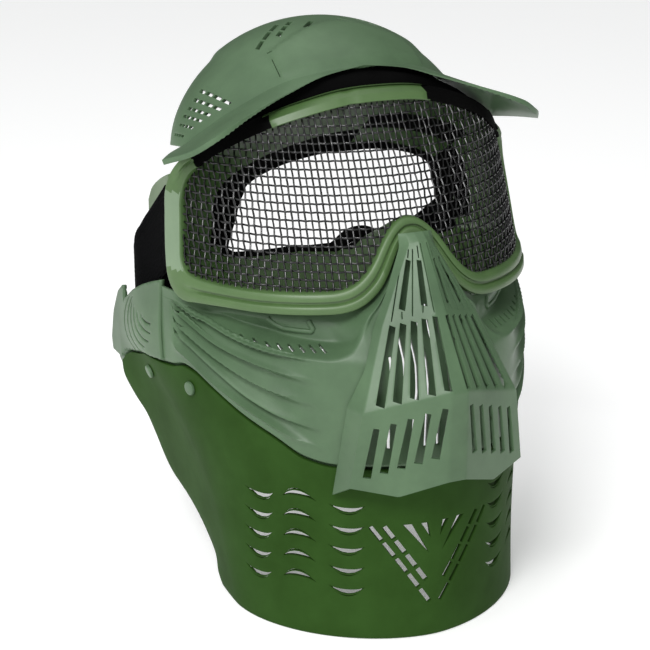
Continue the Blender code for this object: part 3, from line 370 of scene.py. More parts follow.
def moulded(name, base, shade, rough, shine, grain_mm, grain_depth):
    """Moulded plastic or rubber: two close tones in soft clouds, a fine grain and uneven gloss."""
    material, tree, shader = finish_of(name, {"IOR": 1.5, "Specular IOR Level": shine})
    place = add_node(tree, "ShaderNodeTexCoord").outputs["Object"]
    clouds = add_node(tree, "ShaderNodeTexNoise",
                      {"Scale": 1000 / CLOUD_MM, "Detail": 5.0, "Roughness": 0.62},
                      {"Vector": place}).outputs["Fac"]
    depth = add_node(tree, "ShaderNodeMapRange", {"From Min": 0.35, "From Max": 0.68}, {"Value": clouds})
    tone = add_node(tree, "ShaderNodeMix", {"data_type": "RGBA", 6: linear(base), 7: linear(shade)},
                    {"Factor": depth.outputs["Result"]})
    gloss = add_node(tree, "ShaderNodeMapRange", {"To Min": rough - 0.07, "To Max": rough + 0.08},
                     {"Value": clouds})
    grain = add_node(tree, "ShaderNodeTexNoise", {"Scale": 1000 / grain_mm, "Detail": 2.0},
                     {"Vector": place})
    bump = add_node(tree, "ShaderNodeBump", {"Strength": 0.5, "Distance": grain_depth},
                    {"Height": grain.outputs["Fac"]})
    join(shader, {"Base Color": tone.outputs[2], "Roughness": gloss.outputs["Result"],
                  "Normal": bump.outputs["Normal"]})
    return material


# Thermoplastic rubber, moulded smooth: a saturated dark green with a soft, broad gloss
guard_rubber = moulded("moulded thermoplastic rubber", "#2b481a", "#233d12", 0.62, 0.07, 0.8, 0.00006)

GUARD_SPAN = 0.2000          # nominal length of the guard from the chin round to the ear
GUARD_COLUMNS = 160
GUARD_LEVELS = 52
NET_TOP = 1.04               # the net goes a little past the guard's top
guard_across = np.linspace(0, 1, GUARD_COLUMNS + 1)
guard_up = np.linspace(0, NET_TOP, GUARD_LEVELS + 1) * GUARD_HEIGHT
guard_net = net_of(lambda a, b: hull(b, a), guard_across, guard_up)


def pair(outline):
    """An outline and the same one on the wearer's other side."""
    return [outline, [(-a, b) for a, b in outline]]


def between(net, u, v):
    """Point of a net at fractional places along both of its directions."""
    u = min(max(u, 0), net.shape[0] - 1.0001)
    v = min(max(v, 0), net.shape[1] - 1.0001)
    i, j = int(u), int(v)
    f, g = u - i, v - j
    near = net[i, j] * (1 - g) + net[i, j + 1] * g
    far = net[i + 1, j] * (1 - g) + net[i + 1, j + 1] * g
    return near * (1 - f) + far * f


def place_on(net, step_a, step_b):
    """Function from a place in a piece's flat net to its surface, alike on both sides."""
    def place(a, b):
        spot = between(net, abs(a) / step_a, b / step_b)
        return (math.copysign(spot[0], a), spot[1], spot[2])
    return place


guard_point = place_on(guard_net, GUARD_SPAN / GUARD_COLUMNS, NET_TOP * GUARD_HEIGHT / GUARD_LEVELS)


CRESCENT_COLUMNS = [(0.0394, 1), (0.0565, -1), (0.0694, 1)]     # half width, 1 where they hang
CRESCENT_ROWS = 5
CRESCENT_PITCH = 0.0103
CRESCENT_TOP = 0.0675
CRESCENT_WIDTH = 0.0176
CRESCENT_SAG = 0.0040
CRESCENT_OPEN = 0.0032
CRESCENT_STEPS = 8           # points on each half of an edge
SLIT_OPEN = 0.0008
SLIT_SHIFT = -0.0020
SLIT_SHARE = 0.78            # length of a slit as a share of its crescent's


def crescent(x, height, hang):
    """Outline of one crescent and of the thin slit beside it, in the guard's flat net."""
    along = along_for_x(height, x)
    nearby = 0.01
    stretch = (hull(height, along + nearby) - hull(height, along)).length / nearby
    rings = []
    for lift, opening, width in ((0.0, CRESCENT_OPEN, 1.0), (SLIT_SHIFT, SLIT_OPEN, SLIT_SHARE)):
        ring = []
        for i in range(-CRESCENT_STEPS, CRESCENT_STEPS + 1):
            share = i / CRESCENT_STEPS
            sag = CRESCENT_SAG * (1 - share * share) * width
            ring.append((share, -hang * sag + hang * lift))
        for i in range(CRESCENT_STEPS - 1, -CRESCENT_STEPS, -1):
            share = i / CRESCENT_STEPS
            sag = (CRESCENT_SAG * width - opening) * (1 - share * share) + opening * 0.25 * (1 - share ** 4)
            ring.append((share, -hang * sag + hang * lift))
        reach = width * CRESCENT_WIDTH / 2 / stretch
        rings += pair([(GUARD_SPAN * (along + share * reach), height + rise) for share, rise in ring])
    return rings


guard_holes = []
for x, hang in CRESCENT_COLUMNS:
    for row in range(CRESCENT_ROWS):
        guard_holes += crescent(x, CRESCENT_TOP - row * CRESCENT_PITCH, hang)

V_TOP = 0.0575
V_LINES = [
    # top half width, tip half width, tip height, slot width, dashes
    (0.0304, 0.0022, 0.0165, 0.0020, 5),
    (0.0245, 0.0042, 0.0280, 0.0022, 4),
]
DASH_BRIDGE = 0.14           # rubber left between two dashes, as a share of their pitch
OUTLINE_STEP = 0.0015


def flat_place(x, height):
    """Place in the guard's flat net of a point given by its front view."""
    return (math.copysign(GUARD_SPAN * along_for_x(height, abs(x)), x), height)


def strip(start, end, width_start, width_end):
    """Outline of a slot between two points, as wide as given at each end."""
    dx, dy = end[0] - start[0], end[1] - start[1]
    length = math.hypot(dx, dy)
    px, py = -dy / length / 2, dx / length / 2
    return [(start[0] + px * width_start, start[1] + py * width_start),
            (end[0] + px * width_end, end[1] + py * width_end),
            (end[0] - px * width_end, end[1] - py * width_end),
            (start[0] - px * width_start, start[1] - py * width_start)]


def mix(start, end, share):
    """Place at a share of the straight way between two others."""
    return tuple(a + (b - a) * share for a, b in zip(start, end))


for top_half, tip_half, tip_height, width, dashes in V_LINES:
    for sign in (1, -1):
        start, end = (sign * top_half, V_TOP), (sign * tip_half, tip_height)
        for dash in range(dashes):
            low = mix(start, end, (dash + DASH_BRIDGE / 2) / dashes)
            high = mix(start, end, (dash + 1 - DASH_BRIDGE / 2) / dashes)
            slot = split(strip(low, high, width, width), OUTLINE_STEP)
            guard_holes.append([flat_place(x, z) for x, z in slot])
FAN_WEDGES = [
    # top inner x, top outer x, tip x, tip height
    (0.0118, 0.0160, 0.0033, 0.0423),
    (0.0038, 0.0072, 0.0024, 0.0497),
]
for inner, outer, tip, tip_height in FAN_WEDGES:
    wedge = split([(inner, V_TOP), (outer, V_TOP), (tip, tip_height)], OUTLINE_STEP)
    guard_holes += pair([flat_place(x, z) for x, z in wedge])

guard_rim = [(a, 0.0) for a in np.linspace(-GUARD_SPAN, GUARD_SPAN, 121)]
guard_lip = [(a, guard_top(abs(a) / GUARD_SPAN)) for a in np.linspace(GUARD_SPAN, -GUARD_SPAN, 181)]
guard_form = cut_sheet(guard_rim + guard_lip, guard_holes, 0.0022, guard_point)
neck_guard = settle("rubber_neck_guard", guard_form, guard_rubber, ["neck_guard"])
add_wall(neck_guard, RUBBER_WALL)

# Goggle frame: one green nylon moulding, a stepped rim with a groove round the wire screen,
# a nose arch, side bars, and a tunnel that runs back from the rim to the foam's seat.
LENS_HALF = 0.0960
LENS_REACH = 0.1015
LENS_BOTTOM = 0.1635
LENS_HEIGHT = 0.0800
FRAME_BAND = 0.0098
FRAME_WALL = 0.0020
FOAM_HALF = 0.0640
FOAM_LIFT = 0.0012
FOAM_SHARE = 0.66
LENS_TURN = 65.8             # degrees from the front to the end of the opening
NOSE_TURNS = (22, 12)        # turns at which the nose arch begins and is whole
NOSE_SHARE = 0.28
NOSE_FORWARD = 0.0160
FOAM_BEHIND = 0.0300
SEAT_SWEEP = 0.0100          # how far the seat's sides go back past its middle
SEAT_MIDDLE = 0.36           # height, as a share of the lens's, that the seat widens from
ROUND_SCALE = 0.00192        # metres along the screen for one degree of turn
LENS_PLAN = [
    # height   reach  middle  half
    (-0.30,    1.064, 0.050,  1.012),
    (0.00,     1.000, 0.103,  1.000),
    (0.37,     0.887, 0.172,  0.977),
    (0.69,     0.764, 0.231,  0.958),
    (1.10,     0.571, 0.296,  0.938),
]
LENS_EDGE = [
    # turn   height   band
    (0.0,    1.000,   0.68), (12.0,  0.985,  0.68), (25.0,  0.925,  0.66), (37.0,  0.845,  0.62),
    (48.0,   0.745,   0.62), (57.0,  0.640,  0.72), (62.5,  0.530,  0.95), (64.6,  0.430,  1.24),
    (65.2,   0.310,   1.27), (65.6,  0.190,  1.27), (65.8,  0.090,  1.26), (64.6,  0.025,  1.50),
    (61.0,   0.003,   1.16), (52.0,  -0.003, 1.00), (43.0,  -0.003, 1.00), (34.0,  0.003,  1.00),
    (27.0,   0.010,   1.00), (22.5,  0.018,  1.00), (19.0,  0.038,  1.00), (16.2,  0.072,  0.98),
    (13.6,   0.122,   0.95), (11.4,  0.182,  0.90), (9.6,   0.240,  0.86), (7.6,   0.298,  0.82),
    (5.2,    0.350,   0.78), (2.6,   0.385,  0.76), (0.0,   0.395,  0.75),
]
RIM_PROFILE = [
    # share of the band, forward of the screen on the bars, and on the grooved stretches
    (0.00, -0.0012, -0.0012), (0.00, 0.0016, 0.0012), (0.02, 0.0024, 0.0022), (0.05, 0.0027, 0.0030),
    (0.10, 0.0028, 0.0033), (0.34, 0.0028, 0.0035), (0.39, 0.0028, 0.0033), (0.42, 0.0028, 0.0022),
    (0.52, 0.0028, 0.0020), (0.55, 0.0028, 0.0023), (0.58, 0.0028, 0.0036), (0.63, 0.0028, 0.0040),
    (0.88, 0.0028, 0.0038), (0.95, 0.0025, 0.0033), (1.00, 0.0013, 0.0016), (1.00, -0.0008, -0.0008),
    (0.95, -0.0016, -0.0016), (0.25, -0.0016, -0.0016),
]


def lens_point(turn, height, out=0.0):
    """Point at a turn in degrees from the front, set forward of the wire screen by a distance."""
    level = (height - LENS_BOTTOM) / LENS_HEIGHT
    front = -LENS_REACH * spread(LENS_PLAN, level, 1)
    middle = LENS_REACH * spread(LENS_PLAN, level, 2)
    half = LENS_HALF * spread(LENS_PLAN, level, 3)
    angle = math.radians(turn)
    flat = Vector((half * math.sin(angle), middle - (middle - front) * math.cos(angle), height))
    facing = Vector(((middle - front) * math.sin(angle), -half * math.cos(angle), 0)).normalized()
    return flat + facing * out


def smooth_loop(loop, steps):
    """Closed run through the same stations, with steps on a smooth curve between them."""
    run = []
    count = len(loop)
    for i in range(count):
        p0, p1, p2, p3 = (np.array(loop[(i + k) % count]) for k in (-1, 0, 1, 2))
        for step in range(steps):
            t = step / steps
            run.append(tuple(0.5 * (2 * p1 + (p2 - p0) * t + (2 * p0 - 5 * p1 + 4 * p2 - p3) * t * t
                                    + (3 * p1 - p0 - 3 * p2 + p3) * t ** 3)))
    return run


def band_side(loop, index, reach=1):
    """Unit vector out of the opening at one station of the loop, in metres along the screen."""
    before, after = loop[(index - reach) % len(loop)], loop[(index + reach) % len(loop)]
    along = Vector(((after[0] - before[0]) * ROUND_SCALE, after[1] - before[1]))
    return Vector((-along.y, along.x)).normalized()


def ramp(value, start, end):
    """Straight rise from 0 at one value to 1 at another."""
    return min(max((value - start) / (end - start), 0), 1)


def ease(value, low, high):
    """Smooth rise from 0 to 1 between two values."""
    share = ramp(value, low, high)
    return share * share * (3 - 2 * share)


def seat_point(turn, height, grow, back):
    """Point round the foam seat behind the screen, grown outward and set back."""
    flat = lens_point(turn, height)
    x = flat.x * FOAM_HALF / (LENS_HALF * math.sin(math.radians(LENS_TURN)))
    nose = ramp(abs(turn), *NOSE_TURNS) if height < LENS_BOTTOM + 0.5 * LENS_HEIGHT else 0
    z = LENS_BOTTOM + FOAM_LIFT + (height - LENS_BOTTOM) * (FOAM_SHARE + (NOSE_SHARE - FOAM_SHARE) * nose)
    away = Vector((x, 0, z - LENS_BOTTOM - SEAT_MIDDLE * LENS_HEIGHT)).normalized()
    away = away.lerp(Vector((0.35 * x, 0, -0.03)).normalized(), min(nose * 2, 1))
    spot = Vector((x, 0, z)) + away.normalized() * grow
    depth = -FOAM_BEHIND + SEAT_SWEEP * (x / FOAM_HALF) ** 2 - NOSE_FORWARD * nose
    return Vector((spot.x, depth + back, spot.z))


def shaped_grid(columns, rows, to_point):
    """Grid of faces moved to a shape, which is given for shares of the way across and up."""
    form = bmesh.new()
    bmesh.ops.create_grid(form, x_segments=columns, y_segments=rows, size=1)
    for vert in form.verts:
        vert.co = to_point((vert.co.x + 1) / 2, (vert.co.y + 1) / 2)
    return form


def loop_skin(rows, closed=True):
    """Skin through rows of points that each run round a loop; closed, it is a whole ring."""
    rows = rows + rows[:1] * closed
    count, last = len(rows[0]), len(rows) - 1
    form = shaped_grid(count, last, lambda u, v: rows[round(v * last)][round(u * count) % count])
    bmesh.ops.remove_doubles(form, verts=form.verts, dist=1e-7)
    bmesh.ops.recalc_face_normals(form, faces=form.faces)
    return form


BROW = (-35.0, 15.5)         # turns between which the rim's top carries a bevelled strip
BROW_NOTCH = -10.0
BROW_PROFILE = [
    # share of the band, forward of the screen
    (0.00, 0.0012), (0.03, 0.0030), (0.08, 0.0036), (0.55, 0.0037), (0.62, 0.0033), (1.00, -0.0008),
]
RIM_FRONT = len(RIM_PROFILE) - 4     # rows of the rim's profile that face forward


def table_line(table, key, column=1):
    """Straight-line value of one table column at a key in the table's first column."""
    return float(np.interp(key, [row[0] for row in table], [row[column] for row in table]))


half_edge = [(t, LENS_BOTTOM + h * LENS_HEIGHT, b * FRAME_BAND) for t, h, b in LENS_EDGE]
lens_edge = half_edge + [(-t, h, b) for t, h, b in half_edge[-2:0:-1]]
opening = smooth_loop(lens_edge, 6)
rim_rows = []
for share, plain, grooved in RIM_PROFILE:
    row = []
    for i, (turn, height, band) in enumerate(opening):
        side = band_side(opening, i, 3)
        bar = ramp(abs(turn), 60, 64)
        out = grooved + (plain - grooved) * bar
        top = ease(height, LENS_BOTTOM + 0.58 * LENS_HEIGHT, LENS_BOTTOM + 0.66 * LENS_HEIGHT)
        brow = top * ease(turn, BROW[0] - 1, BROW[0] + 1) * (1 - ease(turn, BROW[1] - 1, BROW[1] + 1))
        if len(rim_rows) < RIM_FRONT:
            notch = 0.0012 * max(1 - abs(turn - BROW_NOTCH) / 1.1, 0)
            flat = table_line(BROW_PROFILE, share) - notch
            out += (flat - out) * brow + (min(out, 0.0014) - out) * (top - brow)
        along, up = side.x * band * share / ROUND_SCALE, side.y * band * share
        row.append(lens_point(turn + along, height + up, out))
    rim_rows.append(row)


def steps_between(start, end):
    """Two rows of points on the straight way from one row to another."""
    return [[a.lerp(b, share) for a, b in zip(start, end)] for share in (0.33, 0.67)]


# The tunnel: its outer wall runs back to the foam's seat, and its inner wall comes forward again
wall_back, seat_row = [[seat_point(t, h, wall, 0) for t, h, b in opening] for wall in (FRAME_WALL, 0)]
rim_rows += (steps_between(rim_rows[-1], wall_back) + [wall_back, seat_row]
             + steps_between(seat_row, rim_rows[0]))

# Injection-moulded nylon: a yellower green than the shell, satin with a fine orange peel
goggle_nylon = moulded("moulded green nylon", "#4b663a", "#3e582f", 0.40, 0.50, 0.9, 0.00005)
# Open-cell polyurethane foam: dull black, all pores, with no gloss at all. The same black is also
# laid as painted shade on the goggle rim's upper corners, the tunnel's inner wall and the visor posts
black_foam_and_shade = moulded("open-cell polyurethane foam and painted shade", "#040404", "#090909", 0.92, 0.04, 1.3, 0.0003)
goggle_frame = settle("goggle_frame_moulding", loop_skin(rim_rows), goggle_nylon,
                      ["goggle_frame"], 42)
# Painted highlight: the side bars get a paler, greyer nylon that stands in for the sheen of the left light
# on them
bar_sheen_nylon = moulded("green nylon with painted sheen", "#71866a", "#677b61", 0.46, 0.50, 0.9, 0.00005)
goggle_frame.data.materials.append(black_foam_and_shade)
goggle_frame.data.materials.append(bar_sheen_nylon)
SHADE_FOAM_SLOT, BAR_SHEEN_SLOT = 1, 2
RIM_HALF = LENS_HALF * 0.955         # half width of the rim at the height of the gasket's ends
for face in goggle_frame.data.polygons:
    row = face.index // len(opening)
    turn = math.degrees(math.asin(min(max(face.center.x / RIM_HALF, -1), 1)))
    level = (face.center.z - LENS_BOTTOM) / LENS_HEIGHT
    if row <= RIM_FRONT and level > 0.62 and abs(turn) < 62 and not BROW[0] < turn < BROW[1]:
        face.material_index = SHADE_FOAM_SLOT      # painted shade: black foam finish over the rim's upper corners, under the brim
    elif row == len(RIM_PROFILE) + 3 and level > 0.10:
        face.material_index = SHADE_FOAM_SLOT      # painted shade: black foam finish on the tunnel's inner wall beside the face ring
    # side bars: the paler nylon, a painted highlight
    elif 2 < row < RIM_FRONT and abs(turn) > 66 and 0.02 < level < 0.46:
        face.material_index = BAR_SHEEN_SLOT

# Wire screen: black-lacquered steel cloth in plain weave, pressed to the curve of the goggle
# and clamped inside the rim. Each wire passes over one crossing wire and under the next.
WIRE_RADIUS = 0.00046
WIRE_PITCH_ROUND = 0.0034
WIRE_PITCH_UP = 0.0036
WEAVE_DEPTH = 0.00038
WIRE_TUCK = 0.0006           # each wire's end goes this far under the rim
WIRE_LIFT = 0.0004
WIRE_BENDS = 4               # straight bits between two crossings
UPRIGHT_WIRES = 38           # on each side of the middle one
LEVEL_WIRES = 24
# Black lacquer on steel wire: thin and glossy, so each crossing catches a small light
wire_lacquer = finish_of("black lacquered steel wire", {
    "Base Color": linear("#030304"), "Roughness": 0.24, "Specular IOR Level": 0.55})[0]
screen_ring = [(t * ROUND_SCALE, h) for t, h, b in opening]


def crossings(ring, level, axis):
    """Places where a straight line across the opening meets its edge, in order."""
    met = []
    for start, end in zip(ring, ring[1:] + ring[:1]):
        a, b = start[axis] - level, end[axis] - level
        if (a > 0) != (b > 0):
            share = a / (a - b)
            met.append(start[1 - axis] + (end[1 - axis] - start[1 - axis]) * share)
    return sorted(met)


wires = bpy.data.curves.new("wires", "CURVE")
wires.dimensions = "3D"
wires.bevel_depth = WIRE_RADIUS
wires.bevel_resolution = 1
wires.use_fill_caps = True


def lay_wire(level, axis, other_pitch, over):
    """Wires along one line of the cloth, one for each stretch of it inside the opening."""
    met = crossings(screen_ring, level, axis)
    for low, high in zip(met[::2], met[1::2]):
        low, high = low - WIRE_TUCK, high + WIRE_TUCK
        count = max(2, round((high - low) / other_pitch * WIRE_BENDS))
        spline = wires.splines.new("POLY")
        spline.points.add(count)
        for i, point in enumerate(spline.points):
            place = low + (high - low) * i / count
            lift = over * WEAVE_DEPTH * math.cos(math.pi * place / other_pitch)
            turn, height = (place / ROUND_SCALE, level) if axis else (level / ROUND_SCALE, place)
            point.co = (*(lens_point(turn, height, WIRE_LIFT + lift) + Vector((0, MIDDLE_SHIFT, 0))), 1)


for index in range(-UPRIGHT_WIRES, UPRIGHT_WIRES + 1):
    lay_wire(index * WIRE_PITCH_ROUND, 0, WIRE_PITCH_UP, 1 if index % 2 else -1)
first_wire = math.ceil((LENS_BOTTOM - 0.002) / WIRE_PITCH_UP)
for index in range(first_wire, first_wire + LEVEL_WIRES):
    lay_wire(index * WIRE_PITCH_UP, 1, WIRE_PITCH_ROUND, -1 if index % 2 else 1)
wire_holder = bpy.data.objects.new("wires", wires)
bpy.context.scene.collection.objects.link(wire_holder)
bpy.context.view_layer.update()
wire_mesh = bpy.data.meshes.new_from_object(wire_holder)
bpy.data.objects.remove(wire_holder)
wire_form = bmesh.new()
wire_form.from_mesh(wire_mesh)
settle("woven_wire_screen", wire_form, wire_lacquer, ["mesh_lens"], 60, False)

# Foam ring: open-cell black polyurethane cut to the seat and glued on, faced with thin cloth.
# Its corners are rounded and it bulges a little between the seat and the face.
FOAM_DEPTH = 0.0090
FOAM_WIDTH = 0.0080
FIT_GAP = 0.0004
FOAM_SIDES = 16
FOAM_SQUARE = 0.55           # 1 gives a round section, 0 a square one
foam_rows = []
for step in range(FOAM_SIDES):
    turn = 2 * math.pi * step / FOAM_SIDES
    wide, deep = [math.copysign(abs(part) ** FOAM_SQUARE, part)
                  for part in (math.cos(turn), math.sin(turn))]
    back = (FOAM_DEPTH + FIT_GAP) / 2 + deep * (FOAM_DEPTH - FIT_GAP) / 2
    row = []
    for t, h, b in opening[::2]:
        reach = FOAM_WIDTH * (0.2 + 0.4 * ramp((h - LENS_BOTTOM) / LENS_HEIGHT, 0.05, 0.35))
        reach += 0.0030 * ease(abs(t), 54, 62)
        row.append(seat_point(t, h, (1 + wide) / 2 * (FRAME_WALL * 0.5 + reach) - reach, back))
    foam_rows.append(row)
foam_ring = settle("foam_face_ring", loop_skin(foam_rows), black_foam_and_shade, ["foam_pad"], 60)

# Face shell: one thin ABS moulding over cheeks, nose and jaw. Four ribs sweep round each cheek
# to open groove heads by the ear, and a slotted ledge lies under the goggle.
SHELL_WALL = 0.0022
CRESTS = [
    # round   ledge   crest1  crest2  crest3  crest4
    (0.000,   1.560,  1.060,  0.975,  0.880,  0.790),
    (0.070,   1.470,  1.062,  0.976,  0.880,  0.790),
    (0.115,   1.330,  1.066,  0.978,  0.882,  0.792),
    (0.150,   1.235,  1.070,  0.980,  0.884,  0.794),
    (0.180,   1.190,  1.073,  0.983,  0.886,  0.796),
    (0.230,   1.166,  1.077,  0.986,  0.888,  0.798),
    (0.315,   1.172,  1.097,  1.007,  0.909,  0.838),
    (0.385,   1.188,  1.120,  1.041,  0.960,  0.904),
    (0.455,   1.222,  1.152,  1.091,  1.037,  0.974),
    (0.540,   1.290,  1.220,  1.162,  1.120,  1.061),
    (0.610,   1.328,  1.262,  1.205,  1.154,  1.095),
]
LEDGE_DEPTH = 0.0140
RIB_DEPTH = 0.0040
RIB_PROUD = 0.0022
SEAM_GAP = 0.0006
TUCK_INSET = RUBBER_WALL + 0.0009
TUCK_DEPTH = 0.0120
SHELL_END = 0.61
SHELL_TURN = 0.54
SHELL_REAR = -0.0146
REAR_TOP, REAR_FOOT = 1.305 * GUARD_HEIGHT, 1.290 * GUARD_HEIGHT     # the rear corner's bend
LEDGE_STEP = 0.0015          # least drop from the shell's edge to the ledge, and from it to its rim
RIDGE_WIDTH = 0.12           # of each rib's rounded ridge, as a share of the rib


def crest(along, index):
    """Height of the ledge's edge, 0, or of one of the four ribs' crests."""
    return GUARD_HEIGHT * spread(CRESTS, along, index + 1)


def along_for_back(height, back):
    """Share of the way round at which the hull reaches a place along the head."""
    return share_where(lambda along: hull(height, along).y < back, 0.2, 1.0)


def shell_point(height, along, inset=0.0):
    """Point of the shell's outer face, its last columns parallel to the upright rear edge."""
    if along <= SHELL_TURN:
        return hull(height, along, inset)
    way = (along - SHELL_TURN) / (SHELL_END - SHELL_TURN)
    rear = along_for_back(height, SHELL_REAR)
    return hull(height, SHELL_TURN + (rear - SHELL_TURN) * way, inset)


rim_outside = []
for i, (turn, height, band) in enumerate(lens_edge):
    side = band_side(lens_edge, i)
    rim_outside.append((turn + side.x * band / ROUND_SCALE, height + side.y * band))
rim_foot = sorted(set((max(t, 0), h) for t, h in rim_outside[10:27]))


# The shell's edge below the rim. Lift and reach at the nose, each with what the cheeks add
EDGE_FOOT = (-0.0012, -0.0036, -0.0034, -0.0030)
EDGE_TOP = (0.0022, -0.0048, -0.0042, -0.0030)


def under_band(point):
    """Foot and top of the shell's edge, below the goggle's rim on the same upright line."""
    half = LENS_HALF * spread(LENS_PLAN, -0.01 / LENS_HEIGHT, 3)
    turn = math.degrees(math.asin(min(point.x / half, 0.985)))
    open_side = 1 - ramp(turn, 24, 16)
    foot = spread(rim_foot, turn, 1)
    return [lens_point(turn, foot + lift + more_lift * open_side, out + more_out * open_side)
            for lift, more_lift, out, more_out in (EDGE_FOOT, EDGE_TOP)]


# Nominal length of each stretch of a shell column, from the top edge down to the tuck
STRETCHES = [0.004, 0.010, 0.012, 0.020, 0.010, 0.010, 0.010, 0.010, 0.003, 0.012]
SHELL_STATIONS = np.concatenate(([0], np.cumsum(STRETCHES)))
SHELL_STEP = 0.0007


def shell_column(s):
    """Points down one column of the shell, a SHELL_STEP apart in the flat net."""
    rear = ramp(s, 0.50, 0.56)
    foot, top = under_band(hull(crest(s, 0), min(s, SHELL_TURN)))
    top = top.lerp(shell_point(REAR_TOP, s), rear)
    foot = foot.lerp(shell_point(REAR_FOOT, s), rear)
    rise = ramp(s, 0.13, 0.21) * ramp(s, 0.53, 0.37)
    ledge = shell_point(crest(s, 0), s, LEDGE_DEPTH * rise)
    ledge.z = min(crest(s, 0) + 0.004, foot.z - LEDGE_STEP)
    edge = shell_point(crest(s, 0), s)
    edge.z = min(edge.z, ledge.z - LEDGE_STEP)
    seam = guard_top(s) + SEAM_GAP
    last = shell_point(seam + 0.0012, s)
    inner = shell_point(seam + 0.0002, s, TUCK_INSET)
    tuck = shell_point(seam - TUCK_DEPTH, s, TUCK_INSET)
    levels = [edge.z] + [min(crest(s, i), edge.z - 0.003 * i) for i in range(1, 5)]
    knots = [top, foot, ledge, edge]
    fade = ease(s, 0.23, 0.36) * (1 - ease(s, 0.556, 0.572))
    points = []
    for b in np.arange(0, SHELL_STATIONS[-1] + SHELL_STEP / 2, SHELL_STEP):
        stretch = min(int(np.searchsorted(SHELL_STATIONS, b, side="right")) - 1, len(STRETCHES) - 1)
        way = min((b - SHELL_STATIONS[stretch]) / STRETCHES[stretch], 1)
        if stretch < 3:
            points.append(knots[stretch].lerp(knots[stretch + 1], way))
        elif stretch < 7:
            rib = stretch - 3
            height = levels[rib] + (levels[rib + 1] - levels[rib]) * way
            shape = ease(way, 0.04, 0.24) * (1 - 0.85 * ease(way, 0.24, 0.95))
            ridge = math.exp(-(min(way, 1 - way) / RIDGE_WIDTH) ** 2)
            points.append(shell_point(height, s, (RIB_DEPTH * shape - RIB_PROUD * ridge) * fade))
        elif stretch == 7:
            start = shell_point(levels[4], s, -RIB_PROUD * fade)
            spot = shell_point(levels[4] + (last.z - levels[4]) * way, s)
            points.append(start.lerp(spot, ease(way, 0, 0.5)) if way < 0.5 else spot)
        else:
            points.append((last if stretch == 8 else inner).lerp(inner if stretch == 8 else tuck, way))
    return points


SHELL_COLUMNS = 122
shell_across = np.linspace(0, SHELL_END, SHELL_COLUMNS + 1)
shell_net = np.array([[p[:] for p in shell_column(s)] for s in shell_across])
for _ in range(2):
    shell_net[:, 1:-1] = (shell_net[:, :-2] + 2 * shell_net[:, 1:-1] + shell_net[:, 2:]) / 4
for _ in range(2):
    shell_net[1:-1] = (shell_net[:-2] + 2 * shell_net[1:-1] + shell_net[2:]) / 4
SHELL_WIDE = SHELL_END * GUARD_SPAN
shell_place = place_on(shell_net, SHELL_WIDE / SHELL_COLUMNS, SHELL_STEP)


def unroll(net, spot):
    """Fractional place on a net that lies nearest to a spot in space."""
    spot = np.array(spot)
    u, v = np.unravel_index(((net - spot) ** 2).sum(axis=2).argmin(), net.shape[:2])
    u, v = float(u), float(v)
    for _ in range(4):
        here = between(net, u, v)
        step_u = between(net, u + 0.5, v) - between(net, u - 0.5, v)
        step_v = between(net, u, v + 0.5) - between(net, u, v - 0.5)
        move = np.linalg.lstsq(np.array([step_u, step_v]).T, spot - here, rcond=None)[0]
        u, v = u + float(np.clip(move[0], -2, 2)), v + float(np.clip(move[1], -2, 2))
    return u, v


def shell_flat(spot):
    """Place in the shell's flat net of a spot on the wearer's left."""
    u, v = unroll(shell_net, spot)
    return (u / SHELL_COLUMNS * SHELL_WIDE, v * SHELL_STEP)


LEDGE_SLOTS = [
    # x, y at the goggle, y at the ledge's edge
    (0.0441, -0.0900, -0.0985), (0.0481, -0.0882, -0.0960), (0.0522, -0.0857, -0.0930),
    (0.0563, -0.0829, -0.0898), (0.0604, -0.0795, -0.0858), (0.0645, -0.0755, -0.0812),
    (0.0686, -0.0705, -0.0755), (0.0727, -0.0655, -0.0700),
]
shell_holes = []
for x, back, front in LEDGE_SLOTS:
    level = crest(along_for_x(GUARD_HEIGHT * 1.18, x), 0) + 0.0022
    start, end = shell_flat((x, back, level)), shell_flat((x, front, level - 0.0008))
    shell_holes += pair(split(strip(start, end, 0.0009, 0.0012), 0.001))
# Heads of the grooves, open beside the rear band: each a small wedge that points forward
GROOVE_HEAD = [(0.5715, -0.0034), (0.5695, 0.0020), (0.5440, 0.0004), (0.5560, -0.0014)]
for below in (0.0200, 0.0301, 0.0400):
    shell_holes += pair([(s * GUARD_SPAN, SHELL_STATIONS[3] + below + b) for s, b in GROOVE_HEAD])
# The breathing hole, barred by upright ribs moulded with the shell
MOUTH_HOLE = [(0.0080, 0.1580), (0.0200, 0.1300), (0.0220, 0.0960)]     # half width, height
MOUTH_LOW = 0.0960
MOUTH_BACK = -0.1075
MOUTH_PITCH = 0.0046
MOUTH_SLOT = 0.0012
MOUTH_SLOTS = 5              # the middle one and those on one side
for index in range(MOUTH_SLOTS):
    near, far = max(index * MOUTH_PITCH - MOUTH_SLOT / 2, 0), index * MOUTH_PITCH + MOUTH_SLOT / 2
    high = table_line(MOUTH_HOLE, far)
    corners = ((near, MOUTH_LOW), (far, MOUTH_LOW), (far, high), (near, high))
    slot = [shell_flat((x, MOUTH_BACK, z)) for x, z in corners]
    if index == 0:
        slot = [slot[1], slot[2], (-slot[2][0], slot[2][1]), (-slot[1][0], slot[1][1])]
    shell_holes += pair(split(slot, 0.002))[:1 + min(index, 1)]

# Injection-moulded ABS: grey-green, satin, with a fine spark-eroded grain in its gloss
shell_abs = moulded("satin moulded ABS", "#50694c", "#445b41", 0.40, 0.34, 0.7, 0.00005)


def rectangle(half, low, high):
    """Outline of a whole flat net, from its middle line out to both sides."""
    return [(-half, low), (half, low), (half, high), (-half, high)]


shell_form = cut_sheet(rectangle(SHELL_WIDE, 0, SHELL_STATIONS[-1]), shell_holes, 0.0013, shell_place)
bmesh.ops.reverse_faces(shell_form, faces=shell_form.faces)
face_shell = settle("cheek_and_jaw_shell", shell_form, shell_abs, ["face_shell"], 50)
add_wall(face_shell, SHELL_WALL, 0.0003)

